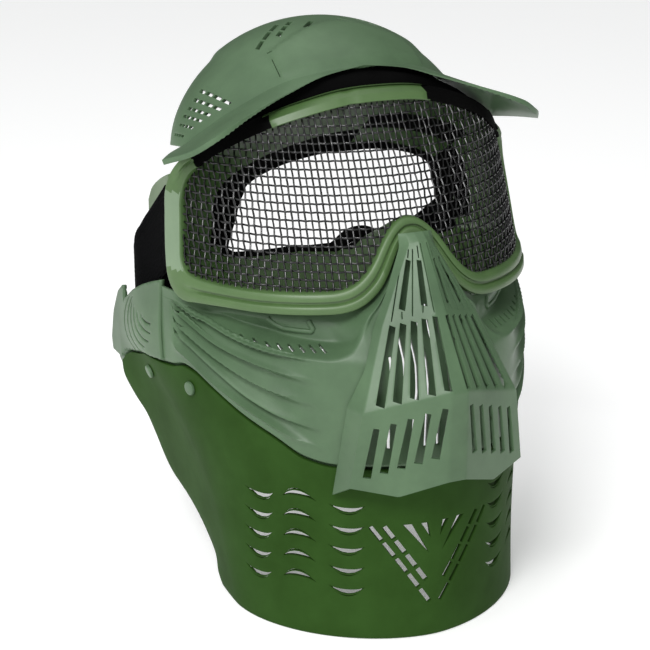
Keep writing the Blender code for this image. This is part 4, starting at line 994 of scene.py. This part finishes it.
# Pocket tabs: a raised U on each cheek, part of the shell's own ABS moulding. It frames the small
# pocket under the goggle's lower edge.
SIDES = (("right", -1), ("left", 1))
TAB_FROM, TAB_TO = 0.0500, 0.0660
TAB_DEEP = 0.0095
TAB_ROUND = 0.0013
TAB_PROUD = 0.8              # height of the raised line as a share of its half width
for word, sign in SIDES:
    near, far = [sign * GUARD_SPAN * along_for_x(GUARD_HEIGHT * 1.2, x) for x in (TAB_FROM, TAB_TO)]
    corners = [(0.0, 0.0038), (0.06, TAB_DEEP - 0.0015), (0.16, TAB_DEEP), (0.84, TAB_DEEP),
               (0.94, TAB_DEEP - 0.0015), (1.0, 0.0038)]
    path = split([(near + (far - near) * share, deep) for share, deep in corners], 0.0008, closed=False)
    tab_form = bmesh.new()
    rings = []
    for index, place in enumerate(path):
        spot = Vector(shell_place(*place))
        ends = [path[min(index + 1, len(path) - 1)], path[max(index - 1, 0)]]
        ahead = Vector(shell_place(*ends[0])) - Vector(shell_place(*ends[1]))
        side = ahead.cross(Vector((spot.x, spot.y, 0))).normalized()
        out = side.cross(ahead).normalized()
        turns = [i * math.pi / 4 for i in range(8)]
        round_spot = [(side * math.cos(a) + out * math.sin(a) * TAB_PROUD) * TAB_ROUND for a in turns]
        rings.append([tab_form.verts.new(spot + off) for off in round_spot])
    for near, far in zip(rings, rings[1:]):
        for i in range(8):
            tab_form.faces.new((near[i], near[i - 1], far[i - 1], far[i]))
    tab_form.faces.new(rings[0])
    tab_form.faces.new(rings[-1][::-1])
    bmesh.ops.recalc_face_normals(tab_form, faces=tab_form.faces)
    settle("pocket_tab_" + word, tab_form, shell_abs, [], 60)

# Mouth grille: a separate ABS cover with flat facets, three rows of slots and an open back,
# clipped over the breathing hole. Its ridge runs down from the nose to the chin.
GRILLE_REACH = 0.1440
GRILLE_HALF = 0.0444
GRILLE_KNEE = 0.1277
GRILLE_WALL = 0.0018
GRILLE_ROWS = [
    # heights of ridge, edge and back; then the half width and reach of each of the three
    ((1.490, 1.488, 1.484), (0.050, 0.700), (0.125, 0.694), (0.190, 0.678)),
    ((1.467, 1.455, 1.440), (0.050, 0.735), (0.130, 0.720), (0.200, 0.678)),
    ((1.233, 1.198, 1.180), (0.060, 0.868), (0.540, 0.792), (0.590, 0.735)),
    ((1.000, 0.917, 0.917), (0.092, 1.000), (0.883, 0.877), (0.930, 0.760)),
    ((0.667, 0.640, 0.575), (0.097, 0.995), (1.000, 0.860), (1.040, 0.740)),
]
CHIN_DIP = 0.609             # height of the lower edge's lowest point
SADDLE_TOP = 1.30 * GUARD_HEIGHT


def saddle(point):
    """Point moved back until it just clears the shell or the guard behind the grille."""
    level = min(point.z, SADDLE_TOP)
    rest = hull(level, along_for_x(level, point.x - GRILLE_WALL * 1.6)).y - FIT_GAP * 4
    if point.z > level:
        way = (point.z - level) / (GRILLE_ROWS[0][0][2] * GRILLE_KNEE - level)
        rest += (GRILLE_ROWS[0][3][1] * -GRILLE_REACH - rest) * way
    return Vector((point.x, rest, point.z))


grille_halves = []
for heights, ridge, edge, back in GRILLE_ROWS:
    spots = [Vector((x * GRILLE_HALF, -y * GRILLE_REACH, h * GRILLE_KNEE))
             for h, (x, y) in zip(heights, (ridge, edge, back))]
    middle = spots[0].lerp(spots[1], 0.5)
    if heights[0] == GRILLE_ROWS[-1][0][0]:
        middle.z = CHIN_DIP * GRILLE_KNEE
    spots.insert(1, middle)
    if len(grille_halves) > 1:
        grille_halves.append([a.lerp(b, 0.5) for a, b in zip(grille_halves[-1], spots)])
    grille_halves.append(spots)
# Nominal places of the columns and rows of facets in the grille's flat net
GRILLE_COLUMNS = [0.0, 0.004, 0.022, 0.040, 0.062]
GRILLE_LEVELS = [0.0, 0.006, 0.021, 0.036, 0.053, 0.070, 0.092, 0.114]
grille_corners = np.array([[Vector((0, r[0].y, r[0].z))[:]] + [p[:] for p in r[:3]] + [saddle(r[3])[:]]
                           for r in grille_halves]).transpose(1, 0, 2)
GRILLE_STEP = 0.0005


def facet_point(a, b):
    """Point of the grille's flat facets at a place in its net."""
    u = min(max(int(np.searchsorted(GRILLE_COLUMNS, a, side="right")) - 1, 0), 3)
    v = min(max(int(np.searchsorted(GRILLE_LEVELS, b, side="right")) - 1, 0), len(GRILLE_LEVELS) - 2)
    f = (a - GRILLE_COLUMNS[u]) / (GRILLE_COLUMNS[u + 1] - GRILLE_COLUMNS[u])
    g = (b - GRILLE_LEVELS[v]) / (GRILLE_LEVELS[v + 1] - GRILLE_LEVELS[v])
    return between(grille_corners, u + f, v + g)


grille_across = np.arange(0, GRILLE_COLUMNS[-1] + GRILLE_STEP / 2, GRILLE_STEP)
grille_up = np.arange(0, GRILLE_LEVELS[-1] + GRILLE_STEP / 2, GRILLE_STEP)
grille_net = np.array([[facet_point(a, b) for b in grille_up] for a in grille_across])


grille_place = place_on(grille_net, GRILLE_STEP, GRILLE_STEP)


def grille_front(x, z):
    """Place in the grille's flat net of a point given by its front view."""
    front = grille_net[:81].copy()
    front[:, :, 1] = 0
    u, v = unroll(front, (x, 0, z))
    return (u * GRILLE_STEP, v * GRILLE_STEP)


GRILLE_SLOTS = [
    # count, top from (x, z), top to (x, z), bottom from, bottom to, width
    (2, (0.0038, 0.1797), (0.0077, 0.1795), (0.0061, 0.1616), (0.0150, 0.1595), 0.0024),
    (5, (0.0030, 0.1575), (0.0201, 0.1529), (0.0051, 0.1286), (0.0320, 0.1207), 0.0032),
    (5, (0.0065, 0.1205), (0.0337, 0.1105), (0.0100, 0.0965), (0.0374, 0.0867), 0.0034),
]
SLOT_TAPER = 0.72            # width of a slot's top as a share of its foot's
grille_holes = []
for count, top_in, top_out, low_in, low_out, width in GRILLE_SLOTS:
    for index in range(count):
        share = index / (count - 1)
        top, low = mix(top_in, top_out, share), mix(low_in, low_out, share)
        slot = split(strip(top, low, width * SLOT_TAPER, width), 0.0025)
        grille_holes += pair([grille_front(x, z) for x, z in slot])
# Fine channels that run up from the slots to the nose
CHANNELS = [
    # foot x, z, top x, z
    (0.0030, 0.1592, 0.0016, 0.1865), (0.0116, 0.1572, 0.0051, 0.1840), (0.0201, 0.1547, 0.0096, 0.1815),
    (0.0073, 0.1588, 0.0064, 0.1622), (0.0158, 0.1558, 0.0152, 0.1588),
    (0.0037, 0.1806, 0.0031, 0.1855), (0.0077, 0.1803, 0.0066, 0.1838),
]
CHANNEL_WIDE = 0.0004
for x0, z0, x1, z1 in CHANNELS:
    channel = split(strip((x0, z0), (x1, z1), CHANNEL_WIDE, CHANNEL_WIDE), 0.0025)
    grille_holes += pair([grille_front(x, z) for x, z in channel])
grille_outline = rectangle(GRILLE_COLUMNS[-1], 0, GRILLE_LEVELS[-1])
grille_form = cut_sheet(grille_outline, grille_holes, 0.0011, grille_place)
bmesh.ops.reverse_faces(grille_form, faces=grille_form.faces)
mouth_grille = settle("faceted_mouth_grille", grille_form, shell_abs, ["mouth_grille"], 50)
add_wall(mouth_grille, GRILLE_WALL, 0.0003)

# Visor: forehead crown and brim in one ABS moulding, with a raised hood over the middle, rows of
# slots in the sides and three in the top. It is clipped over the goggle a little askew.
CROWN_HALF = 0.0775
CROWN_DEPTH = 0.0850
CROWN_RISE = 0.0770
CROWN_BASE = 0.1960
CROWN_MIDDLE = -0.0030
BRIM_HALF = 0.0980
BRIM_REACH = 0.0580
BRIM_TOP = 0.2593
BRIM_DROP = 0.0357
BRIM_CROWN = 0.0012
VISOR_WALL = 0.0024
VISOR_LEAN = math.radians(1.5)
VISOR_SHIFT = -0.0033
HOOD_RISE = 0.0013
DOME_RISE = 0.0014
CREASE = [
    # side    x      y       z
    (0.00,    0.000, -0.600, 0.800),
    (0.40,    0.440, -0.500, 0.746),
    (0.60,    0.640, -0.420, 0.643),
    (0.80,    0.830, -0.270, 0.488),
    (1.00,    0.950, -0.060, 0.306),
]
CROWN_REAR = [
    # side    x      y       z
    (0.00,    0.000, 0.447,  0.894),
    (0.50,    0.560, 0.380,  0.736),
    (0.80,    0.850, 0.290,  0.440),
    (1.00,    0.948, 0.170,  0.270),
]
BRIM_EDGE = [
    # side, share of its reach, share of its drop
    (0.00, 0.945, 0.01), (0.20, 0.945, 0.09), (0.40, 0.965, 0.260), (0.60, 1.045, 0.435),
    (0.80, 1.140, 0.640), (0.90, 1.060, 0.815), (1.00, 0.820, 0.980),
]
HOOD_EDGE = [
    # back, side
    (0.00, 0.435), (0.06, 0.420), (0.24, 0.375), (0.31, 0.345), (0.37, 0.220), (0.44, 0.060), (0.46, 0.000),
]


def dome(direction, out=0.0):
    """Point of the crown in a direction from the dome's middle."""
    unit = direction.normalized()
    return Vector((unit.x * (CROWN_HALF + out), CROWN_MIDDLE + unit.y * (CROWN_DEPTH + out),
                   CROWN_BASE + unit.z * (CROWN_RISE + out)))


def table_vector(table, side):
    """Direction from the dome's middle at a share of the way to one side."""
    a = abs(side)
    return Vector((math.copysign(spread(table, a, 1), side), spread(table, a, 2), spread(table, a, 3)))


def visor_point(side, back):
    """Point of the visor: back is -1 at the brim's edge, 0 at the crease, 1 at the rear edge."""
    a = abs(side)
    start = table_vector(CREASE, side)
    if back <= 0:
        root = dome(start)
        edge = Vector((BRIM_HALF * side, -BRIM_REACH * spread(BRIM_EDGE, a, 1),
                       BRIM_TOP - BRIM_DROP * spread(BRIM_EDGE, a, 2)))
        share = -back
        point = root.lerp(edge, share)
        point.z += BRIM_CROWN * 4 * share * (1 - share) * side ** 2
    else:
        hood = 0.0
        if back < 0.46:
            hood_side = spread(HOOD_EDGE, back, 1)
            hood = 1 - ease(a, hood_side - 0.006, hood_side + 0.006)
        rise = HOOD_RISE * hood * ease(back, 0.0, 0.10)
        rise += DOME_RISE * (1 - ease(a, 0.44, 0.53)) * ease(back, 0.10, 0.45)
        point = dome(start.lerp(table_vector(CROWN_REAR, side), back), rise)
    z = point.z - CROWN_BASE
    return Vector((point.x * math.cos(VISOR_LEAN) - z * math.sin(VISOR_LEAN) + VISOR_SHIFT, point.y,
                   CROWN_BASE + point.x * math.sin(VISOR_LEAN) + z * math.cos(VISOR_LEAN)))


VISOR_HALF = 0.105           # nominal half width of the visor's flat net
VISOR_BACK = 0.055           # nominal length of brim or crown in the net
VISOR_COLUMNS = 140          # columns of the net on each side of the middle
VISOR_ROWS = 70              # rows of the net before the crease and behind it
visor_across = np.linspace(-1, 1, 2 * VISOR_COLUMNS + 1)
visor_up = np.linspace(-1, 1, 2 * VISOR_ROWS + 1)
visor_net = net_of(visor_point, visor_across, visor_up)
for _ in range(2):
    join_rows = visor_net[:, VISOR_ROWS - 4:VISOR_ROWS + 6].copy()
    visor_net[:, VISOR_ROWS - 3:VISOR_ROWS + 5] = (
        join_rows[:, :-2] + 2 * join_rows[:, 1:-1] + join_rows[:, 2:]) / 4


def visor_place(a, b):
    """Point of the visor at a place in its flat net."""
    u, v = (a / VISOR_HALF + 1) * VISOR_COLUMNS, (b / VISOR_BACK + 1) * VISOR_ROWS
    return tuple(between(visor_net, u, v))


SIDE_SLOT_ROWS = [
    # side, back of its rear end, back of its front end
    (0.675, 0.600, 0.090), (0.720, 0.610, 0.105), (0.766, 0.625, 0.145), (0.812, 0.660, 0.180),
    (0.866, 0.665, 0.230), (0.930, 0.770, 0.315),
]
TOP_SLOTS = [
    # side and back at the front end, side and back at the rear end
    (0.380, 0.405, 0.185, 0.600), (0.258, 0.430, 0.128, 0.578), (0.128, 0.425, 0.058, 0.502),
]
# Notch at the top of the hood's seam, and the seam, a knife-thin gap down to the brim
HOOD_NOTCH = ((0.338, 0.312), (0.360, 0.332), (0.362, 0.318), (0.343, 0.296))
HOOD_SEAM = ((0.3755, 0.245), (0.4205, 0.062), (0.4165, 0.062), (0.3715, 0.245))
SLOT_WIDE = 0.0019
SLOT_RIB = 0.0011            # thin ribs that bridge each slot
visor_holes = []


def add_dashes(start, end, width, dashes):
    """One slot of the visor as a row of windows with ribs between them."""
    start = (start[0] * VISOR_HALF, start[1] * VISOR_BACK)
    end = (end[0] * VISOR_HALF, end[1] * VISOR_BACK)
    rib = SLOT_RIB / math.dist(start, end)
    for dash in range(dashes):
        low = mix(start, end, dash / dashes + rib / 2)
        high = mix(start, end, (dash + 1) / dashes - rib / 2)
        visor_holes.append(split(strip(low, high, width, width), 0.0014))


for sign in (1, -1):
    for side, rear, front in SIDE_SLOT_ROWS:
        add_dashes((sign * side, rear), (sign * side, front), SLOT_WIDE * 0.9, 4)
    for side, back, far_side, far_back in TOP_SLOTS:
        add_dashes((sign * side, back), (sign * far_side, far_back), SLOT_WIDE, 3 if side > 0.2 else 1)
    for outline in (HOOD_NOTCH, HOOD_SEAM):
        visor_holes.append([(sign * side * VISOR_HALF, back * VISOR_BACK) for side, back in outline])

visor_outline = rectangle(VISOR_HALF, -VISOR_BACK, VISOR_BACK)
visor_form = cut_sheet(visor_outline, visor_holes, 0.0014, visor_place)
visor = settle("forehead_visor", visor_form, shell_abs, ["visor"], 50)
add_wall(visor, VISOR_WALL, 0.0004)

# Ear guards: bulged ABS covers with nested curved slots over the ear and a thin fin behind.
# Each tucks under the neck guard's tab and meets the shell's rear edge.
EAR_SLOT = 0.0013
EAR_EDGE = [
    # back     top     bottom
    (-0.0144,  0.1557, 0.0990),
    (-0.0050,  0.1525, 0.0983),
    (0.0050,   0.1485, 0.0972),
    (0.0160,   0.1430, 0.0950),
    (0.0280,   0.1352, 0.0916),
    (0.0305,   0.1325, 0.0910),
    (0.0330,   0.1410, 0.0905),
    (0.0420,   0.1350, 0.0876),
    (0.0520,   0.1220, 0.0865),
    (0.0600,   0.1050, 0.0930),
]
EAR_BULGE = 0.0030
EAR_CENTRE = (0.0150, 0.1260)
EAR_SPREAD = (0.0300, 0.0240)        # how far the bulge reaches along the head and up it
EAR_LINES = 75
EAR_SLOTS = [
    # top back, height,  bend back, height,  end back, height
    (0.0040, 0.1335,     0.0020, 0.1300,    -0.0060, 0.1312),
    (0.0085, 0.1335,     0.0070, 0.1255,    -0.0055, 0.1262),
    (0.0125, 0.1350,     0.0140, 0.1205,    -0.0030, 0.1212),
    (0.0160, 0.1365,     0.0215, 0.1175,     0.0025, 0.1168),
    (0.0160, 0.1395,     0.0330, 0.1165,     0.0095, 0.1128),
    (0.0205, 0.1385,     0.0410, 0.1150,     0.0180, 0.1100),
]


def guard_top_beside(back):
    """Height of the guard's top edge beside a place along the head."""
    return guard_top(share_where(lambda along: hull(guard_top(along), along).y < back, 0.3, 1.0))


ear_lines = []
for back in np.linspace(EAR_EDGE[0][0], EAR_EDGE[-1][0], EAR_LINES):
    top, low = table_line(EAR_EDGE, back, 1), table_line(EAR_EDGE, back, 2)
    seam = min(guard_top_beside(back) + SEAM_GAP, top - 0.006)
    ear_lines.append((back, top, min(low, seam - 0.003), seam))


def ear_place(back, height):
    """Point of the ear guard's outer face on the wearer's left, tucked below the guard's edge."""
    seam = table_line(ear_lines, back, 3)
    off_centre = [(at - middle) / wide for at, middle, wide in zip((back, height), EAR_CENTRE, EAR_SPREAD)]
    bulge = EAR_BULGE * math.exp(-(off_centre[0] ** 2 + off_centre[1] ** 2))
    tuck = ease(height, seam + 0.0002, seam + 0.0014)
    x = hull(height, along_for_back(height, back)).x
    return (x + bulge * tuck - TUCK_INSET * (1 - tuck), back, height)


def on_curve(top, bend, low, way):
    """Point of a slot's middle line, which leaves its top towards the bend."""
    return top.lerp(bend, way).lerp(bend.lerp(low, way), way)


ear_outline = [(r[0], r[2]) for r in ear_lines] + [(r[0], r[1]) for r in ear_lines[::-1]]
ear_holes = []
for row in EAR_SLOTS:
    corners = [Vector(row[i:i + 2]) for i in (0, 2, 4)]
    upper, lower = [], []
    for step in range(13):
        way = step / 12
        spot, ahead = on_curve(*corners, way), on_curve(*corners, way + 0.05)
        side = Vector((-(ahead - spot).y, (ahead - spot).x)).normalized() * EAR_SLOT / 2
        side *= 0.55 + 0.45 * math.sin(math.pi * min(way * 1.2, 1))
        upper.append(tuple(spot + side))
        lower.append(tuple(spot - side))
    ear_holes.append(upper + lower[::-1])


def on_side(form, sign):
    """The form as it is for the wearer's left, turned over for the right."""
    if sign < 0:
        bmesh.ops.scale(form, verts=form.verts, vec=(-1, 1, 1))
        bmesh.ops.reverse_faces(form, faces=form.faces)
    return form


for word, sign in SIDES:
    ear_form = on_side(cut_sheet(ear_outline, ear_holes, 0.0013, ear_place), sign)
    ear_cover = settle("ear_cover_" + word, ear_form, shell_abs, ["ear_guard_" + word], 50)
    add_wall(ear_cover, SHELL_WALL, 0.0)

# Head strap: one loop of 40 mm black elastic, woven with lengthwise cords and folded edges.
# It runs from the side arms round the back of the head and hangs lower at the nape.
STRAP_WIDTH = 0.0400
STRAP_WALL = 0.0016
STRAP_BACK = 0.1080
STRAP_START = -0.0146
STRAP_HALF = 0.0870
STRAP_TURN = 0.0340
STRAP_SPLAY = 0.0028
STRAP_STRAIGHT = 0.40        # share of the way to the nape that runs straight
STRAP_LEVELS = [
    # share of the way round, height of the strap's middle
    (0.00, 0.1820), (0.20, 0.1670), (0.40, 0.1500), (0.55, 0.1290), (0.70, 0.1120), (1.00, 0.0980),
]
STRAP_STEPS = 160
CORD_COUNT = 16
CORD_SWELL = 0.00010
EDGE_DROP = 0.0003           # the folded edges lie a little flatter
RIB_MM = 1.6


def strap_side(way):
    """Half width of the strap's loop along its straight side, a little splayed at the front."""
    return STRAP_HALF + STRAP_SPLAY * (1 - way) ** 2


def strap_point(share):
    """Middle of the strap, from the wearer's left arm round to the nape."""
    if share < STRAP_STRAIGHT:
        way = share / STRAP_STRAIGHT
        x = strap_side(way)
        y = STRAP_START + (STRAP_TURN - STRAP_START) * way
    else:
        turn = (share - STRAP_STRAIGHT) / (1 - STRAP_STRAIGHT) * math.pi / 2
        x = STRAP_HALF * math.cos(turn)
        y = STRAP_TURN + (STRAP_BACK - STRAP_TURN) * math.sin(turn)
    return Vector((x, y, spread(STRAP_LEVELS, share, 1)))


# Woven elastic: near-black and dull, with ribs across its width shed by dark cords along it
strap_elastic, tree, shader = finish_of("woven black elastic",
                                        {"Roughness": 0.85, "Specular IOR Level": 0.02})
place = add_node(tree, "ShaderNodeUVMap", {"uv_map": "weave"})
ribs, cords = [add_node(tree, "ShaderNodeTexWave", {"bands_direction": way, "Scale": 0.5},
                        {"Vector": place.outputs["UV"]}).outputs["Fac"] for way in "XY"]
both = add_node(tree, "ShaderNodeMath", {"operation": "MULTIPLY"}, {0: ribs, 1: cords}).outputs["Value"]
tone = add_node(tree, "ShaderNodeMix", {"data_type": "RGBA", 6: linear("#010102"), 7: linear("#0a0b0c")},
                {"Factor": both})
bump = add_node(tree, "ShaderNodeBump", {"Strength": 0.8, "Distance": 0.0003}, {"Height": both})
join(shader, {"Base Color": tone.outputs[2], "Normal": bump.outputs["Normal"]})

strap_form = bmesh.new()
bmesh.ops.create_grid(strap_form, x_segments=2 * STRAP_STEPS, y_segments=48, size=1)
weave = strap_form.loops.layers.uv.new("weave")
strap_length = 2 * sum((strap_point((i + 1) / 80) - strap_point(i / 80)).length for i in range(80))
for face in strap_form.faces:
    for loop in face.loops:
        round_way, across = loop.vert.co.x, loop.vert.co.y
        loop[weave].uv = (round_way * strap_length / 2 * 1000 / RIB_MM, across * CORD_COUNT / 2)
for vert in strap_form.verts:
    round_way, across = vert.co.x, vert.co.y
    share = 1 - abs(round_way)
    spot = strap_point(share)
    ahead = strap_point(max(share - 0.004, 0)) - strap_point(min(share + 0.004, 1))
    out = Vector((-ahead.y, ahead.x, 0)).normalized()
    swell = CORD_SWELL * math.cos(across * CORD_COUNT * math.pi) - EDGE_DROP * ease(abs(across), 0.93, 1.0)
    spot += out * swell * (1 if out.x * spot.x + out.y * spot.y > 0 else -1)
    vert.co = (math.copysign(spot.x, round_way), spot.y, spot.z + across * STRAP_WIDTH / 2)
bmesh.ops.recalc_face_normals(strap_form, faces=strap_form.faces)
if sum(f.normal.dot(f.calc_center_median() - Vector((0, 0.04, f.calc_center_median().z)))
       for f in strap_form.faces) < 0:
    bmesh.ops.reverse_faces(strap_form, faces=strap_form.faces)
head_strap = settle("elastic_head_strap", strap_form, strap_elastic, ["head_strap"], 60)
add_wall(head_strap, STRAP_WALL, 0.0)

# Side arms: flat plates of the goggle's moulded nylon behind its bars. The strap's ends lie over
# them and hold the mask on.
TEMPLE_WALL = 0.0020
TEMPLE_EDGE = [
    # back     top     bottom
    (-0.0150,  0.2072, 0.1568),
    (-0.0080,  0.2050, 0.1590),
    (0.0050,   0.2000, 0.1640),
    (0.0180,   0.1930, 0.1700),
    (0.0240,   0.1860, 0.1740),
]


def arm_point(along, up):
    """Point of the arm's outer face on the wearer's left, just inside the strap."""
    back = TEMPLE_EDGE[0][0] + (TEMPLE_EDGE[-1][0] - TEMPLE_EDGE[0][0]) * along
    x = strap_side(ramp(back, STRAP_START, STRAP_TURN)) - STRAP_WALL - FIT_GAP
    low, top = spread(TEMPLE_EDGE, back, 2), spread(TEMPLE_EDGE, back, 1)
    return Vector((x, back, low + (top - low) * up))


for word, sign in SIDES:
    arm_form = on_side(shaped_grid(24, 16, arm_point), sign)
    side_arm = settle("side_arm_" + word, arm_form, goggle_nylon, ["temple_" + word], 50)
    add_wall(side_arm, TEMPLE_WALL, 0.0005)

# Visor posts: small flanges on the goggle's upper corners that the visor rests on, given
# the same black foam finish as the rim's corners, as painted shade under the brim
POST_TURNS = (51.0, 58.9)
POST_MOST = 0.0070
POST_LEAST = 0.0012
POST_WALL = 0.0022
POST_OUT = 0.0012
visor_skin = bmesh.new()
visor_corners = [[visor_skin.verts.new(spot) for spot in column[::2]] for column in visor_net[::4]]
for near, far in zip(visor_corners, visor_corners[1:]):
    for j in range(len(near) - 1):
        visor_skin.faces.new((near[j], far[j], far[j + 1], near[j + 1]))
visor_skin.normal_update()
visor_above = BVHTree.FromBMesh(visor_skin)
visor_skin.free()


def room_below_visor(point, most):
    """Height that a piece may reach above a point before it meets the visor, up to a limit."""
    hit, facing, _, _ = visor_above.ray_cast(point, Vector((0, 0, 1)))
    if hit is None:
        return most
    return min(hit.z - point.z - VISOR_WALL / max(abs(facing.z), 0.4) - FIT_GAP, most)


corner_edge = sorted(rim_outside[3:9])


def post_point(along, up, sign):
    """Point of a post's outer face; the visor is askew, so the two posts differ in height."""
    turn = POST_TURNS[0] + (POST_TURNS[1] - POST_TURNS[0]) * along
    low = table_line(corner_edge, turn) + FIT_GAP
    feet = [lens_point(turn * sign, low, out) for out in (POST_OUT, POST_OUT - POST_WALL)]
    rise = max(min(room_below_visor(foot, POST_MOST) for foot in feet) - FIT_GAP, POST_LEAST)
    return lens_point(turn * sign, low + rise * up, POST_OUT)


for word, sign in SIDES:
    post_form = shaped_grid(12, 4, lambda along, up: post_point(along, up, sign))
    if sign < 0:
        bmesh.ops.reverse_faces(post_form, faces=post_form.faces)
    # black foam finish on the posts: painted shade
    post = settle("post_" + word, post_form, black_foam_and_shade, ["visor_post_" + word], 50)
    add_wall(post, POST_WALL, 0.0003)

# Vent foam: a strip of black open-cell foam on the goggle's roof, which keeps pellets out of
# the gap under the visor. It is pressed down by the visor all along.
VENT_TURN = 50
VENT_FRONT = -0.0027
VENT_DEPTH = 0.0100
VENT_SINK = 0.0039
VENT_MOST = 0.0180
VENT_LEAST = 0.0045
VENT_ROOM = 0.0004
VENT_STEP = 0.0002
VENT_STEPS = 48
VENT_BEHIND = 0.0020         # the foam is also held down this far behind each point
roof_edge = sorted(rim_outside[:8])


def vent_top(turn, foot, out):
    """Point of the foam's top above its foot, pressed against the visor's underside."""
    rise = VENT_LEAST
    while rise < VENT_MOST:
        spot = lens_point(turn, foot + rise + VENT_STEP, out)
        behind = spot + Vector((0, VENT_BEHIND, 0))
        if min(room_below_visor(spot, VENT_MOST), room_below_visor(behind, VENT_MOST)) < VENT_ROOM:
            break
        rise += VENT_STEP
    return lens_point(turn, foot + rise, out)


vent_sections = []
for step in range(-VENT_STEPS, VENT_STEPS + 1):
    turn = VENT_TURN * step / VENT_STEPS
    foot = spread(roof_edge, abs(turn), 1) - VENT_SINK
    front, rear = VENT_FRONT - 0.0003, VENT_FRONT - VENT_DEPTH
    corners = [lens_point(turn, foot, VENT_FRONT), vent_top(turn, foot, front),
               vent_top(turn, foot, (front + rear) / 2), vent_top(turn, foot, rear),
               lens_point(turn, foot - 0.002, rear)]
    section = []
    for i, corner in enumerate(corners):
        before, after = corners[i - 1], corners[(i + 1) % 5]
        section += [corner.lerp(before, 0.08), corner.lerp(after, 0.08), corner.lerp(after, 0.5)]
    vent_sections.append(section)
vent_form = loop_skin(vent_sections, closed=False)
bmesh.ops.holes_fill(vent_form, edges=vent_form.edges[:], sides=0)
bmesh.ops.recalc_face_normals(vent_form, faces=vent_form.faces)
vent_strip = settle("vent_foam_strip", vent_form, black_foam_and_shade, ["vent_foam"], 50)

# Rivets: snap rivets of moulded plastic with low domed heads, one at each jaw and ear tab. Each is
# pressed through the neck guard and the piece under it.
RIVET_RADIUS = 0.0034
RIVET_HEIGHT = 0.0016
RIVETS = [
    # name, share of the way round, height
    ("ear", 0.755, 0.1015),
    ("jaw", 0.540, 0.1075),
]
for label, along, height in RIVETS:
    side = hull(height, along + 0.002) - hull(height, along - 0.002)
    rise = hull(height + 0.001, along) - hull(height - 0.001, along)
    facing = side.cross(rise).normalized()
    for word, sign in SIDES[::-1]:
        seat, out = hull(height, along), facing.copy()
        seat.x, out.x = seat.x * sign, out.x * sign
        head_form = bmesh.new()
        bmesh.ops.create_uvsphere(head_form, u_segments=32, v_segments=24, radius=1)
        for vert in head_form.verts:
            flat = math.hypot(vert.co.x, vert.co.y)
            swell = (1 - (1 - flat) ** 2.2) / max(flat, 1e-6) if flat > 1e-6 else 1
            vert.co.x *= min(swell, 1.6) * RIVET_RADIUS
            vert.co.y *= min(swell, 1.6) * RIVET_RADIUS
            vert.co.z = FIT_GAP + RIVET_HEIGHT * max(vert.co.z, 0) ** 0.7
        bmesh.ops.rotate(head_form, verts=head_form.verts, cent=(0, 0, 0),
                         matrix=Vector((0, 0, 1)).rotation_difference(out).to_matrix())
        bmesh.ops.translate(head_form, verts=head_form.verts, vec=seat)
        settle("snap_rivet_" + label + "_" + word, head_form, shell_abs,
               ["rivet_" + label + "_" + word], 60)
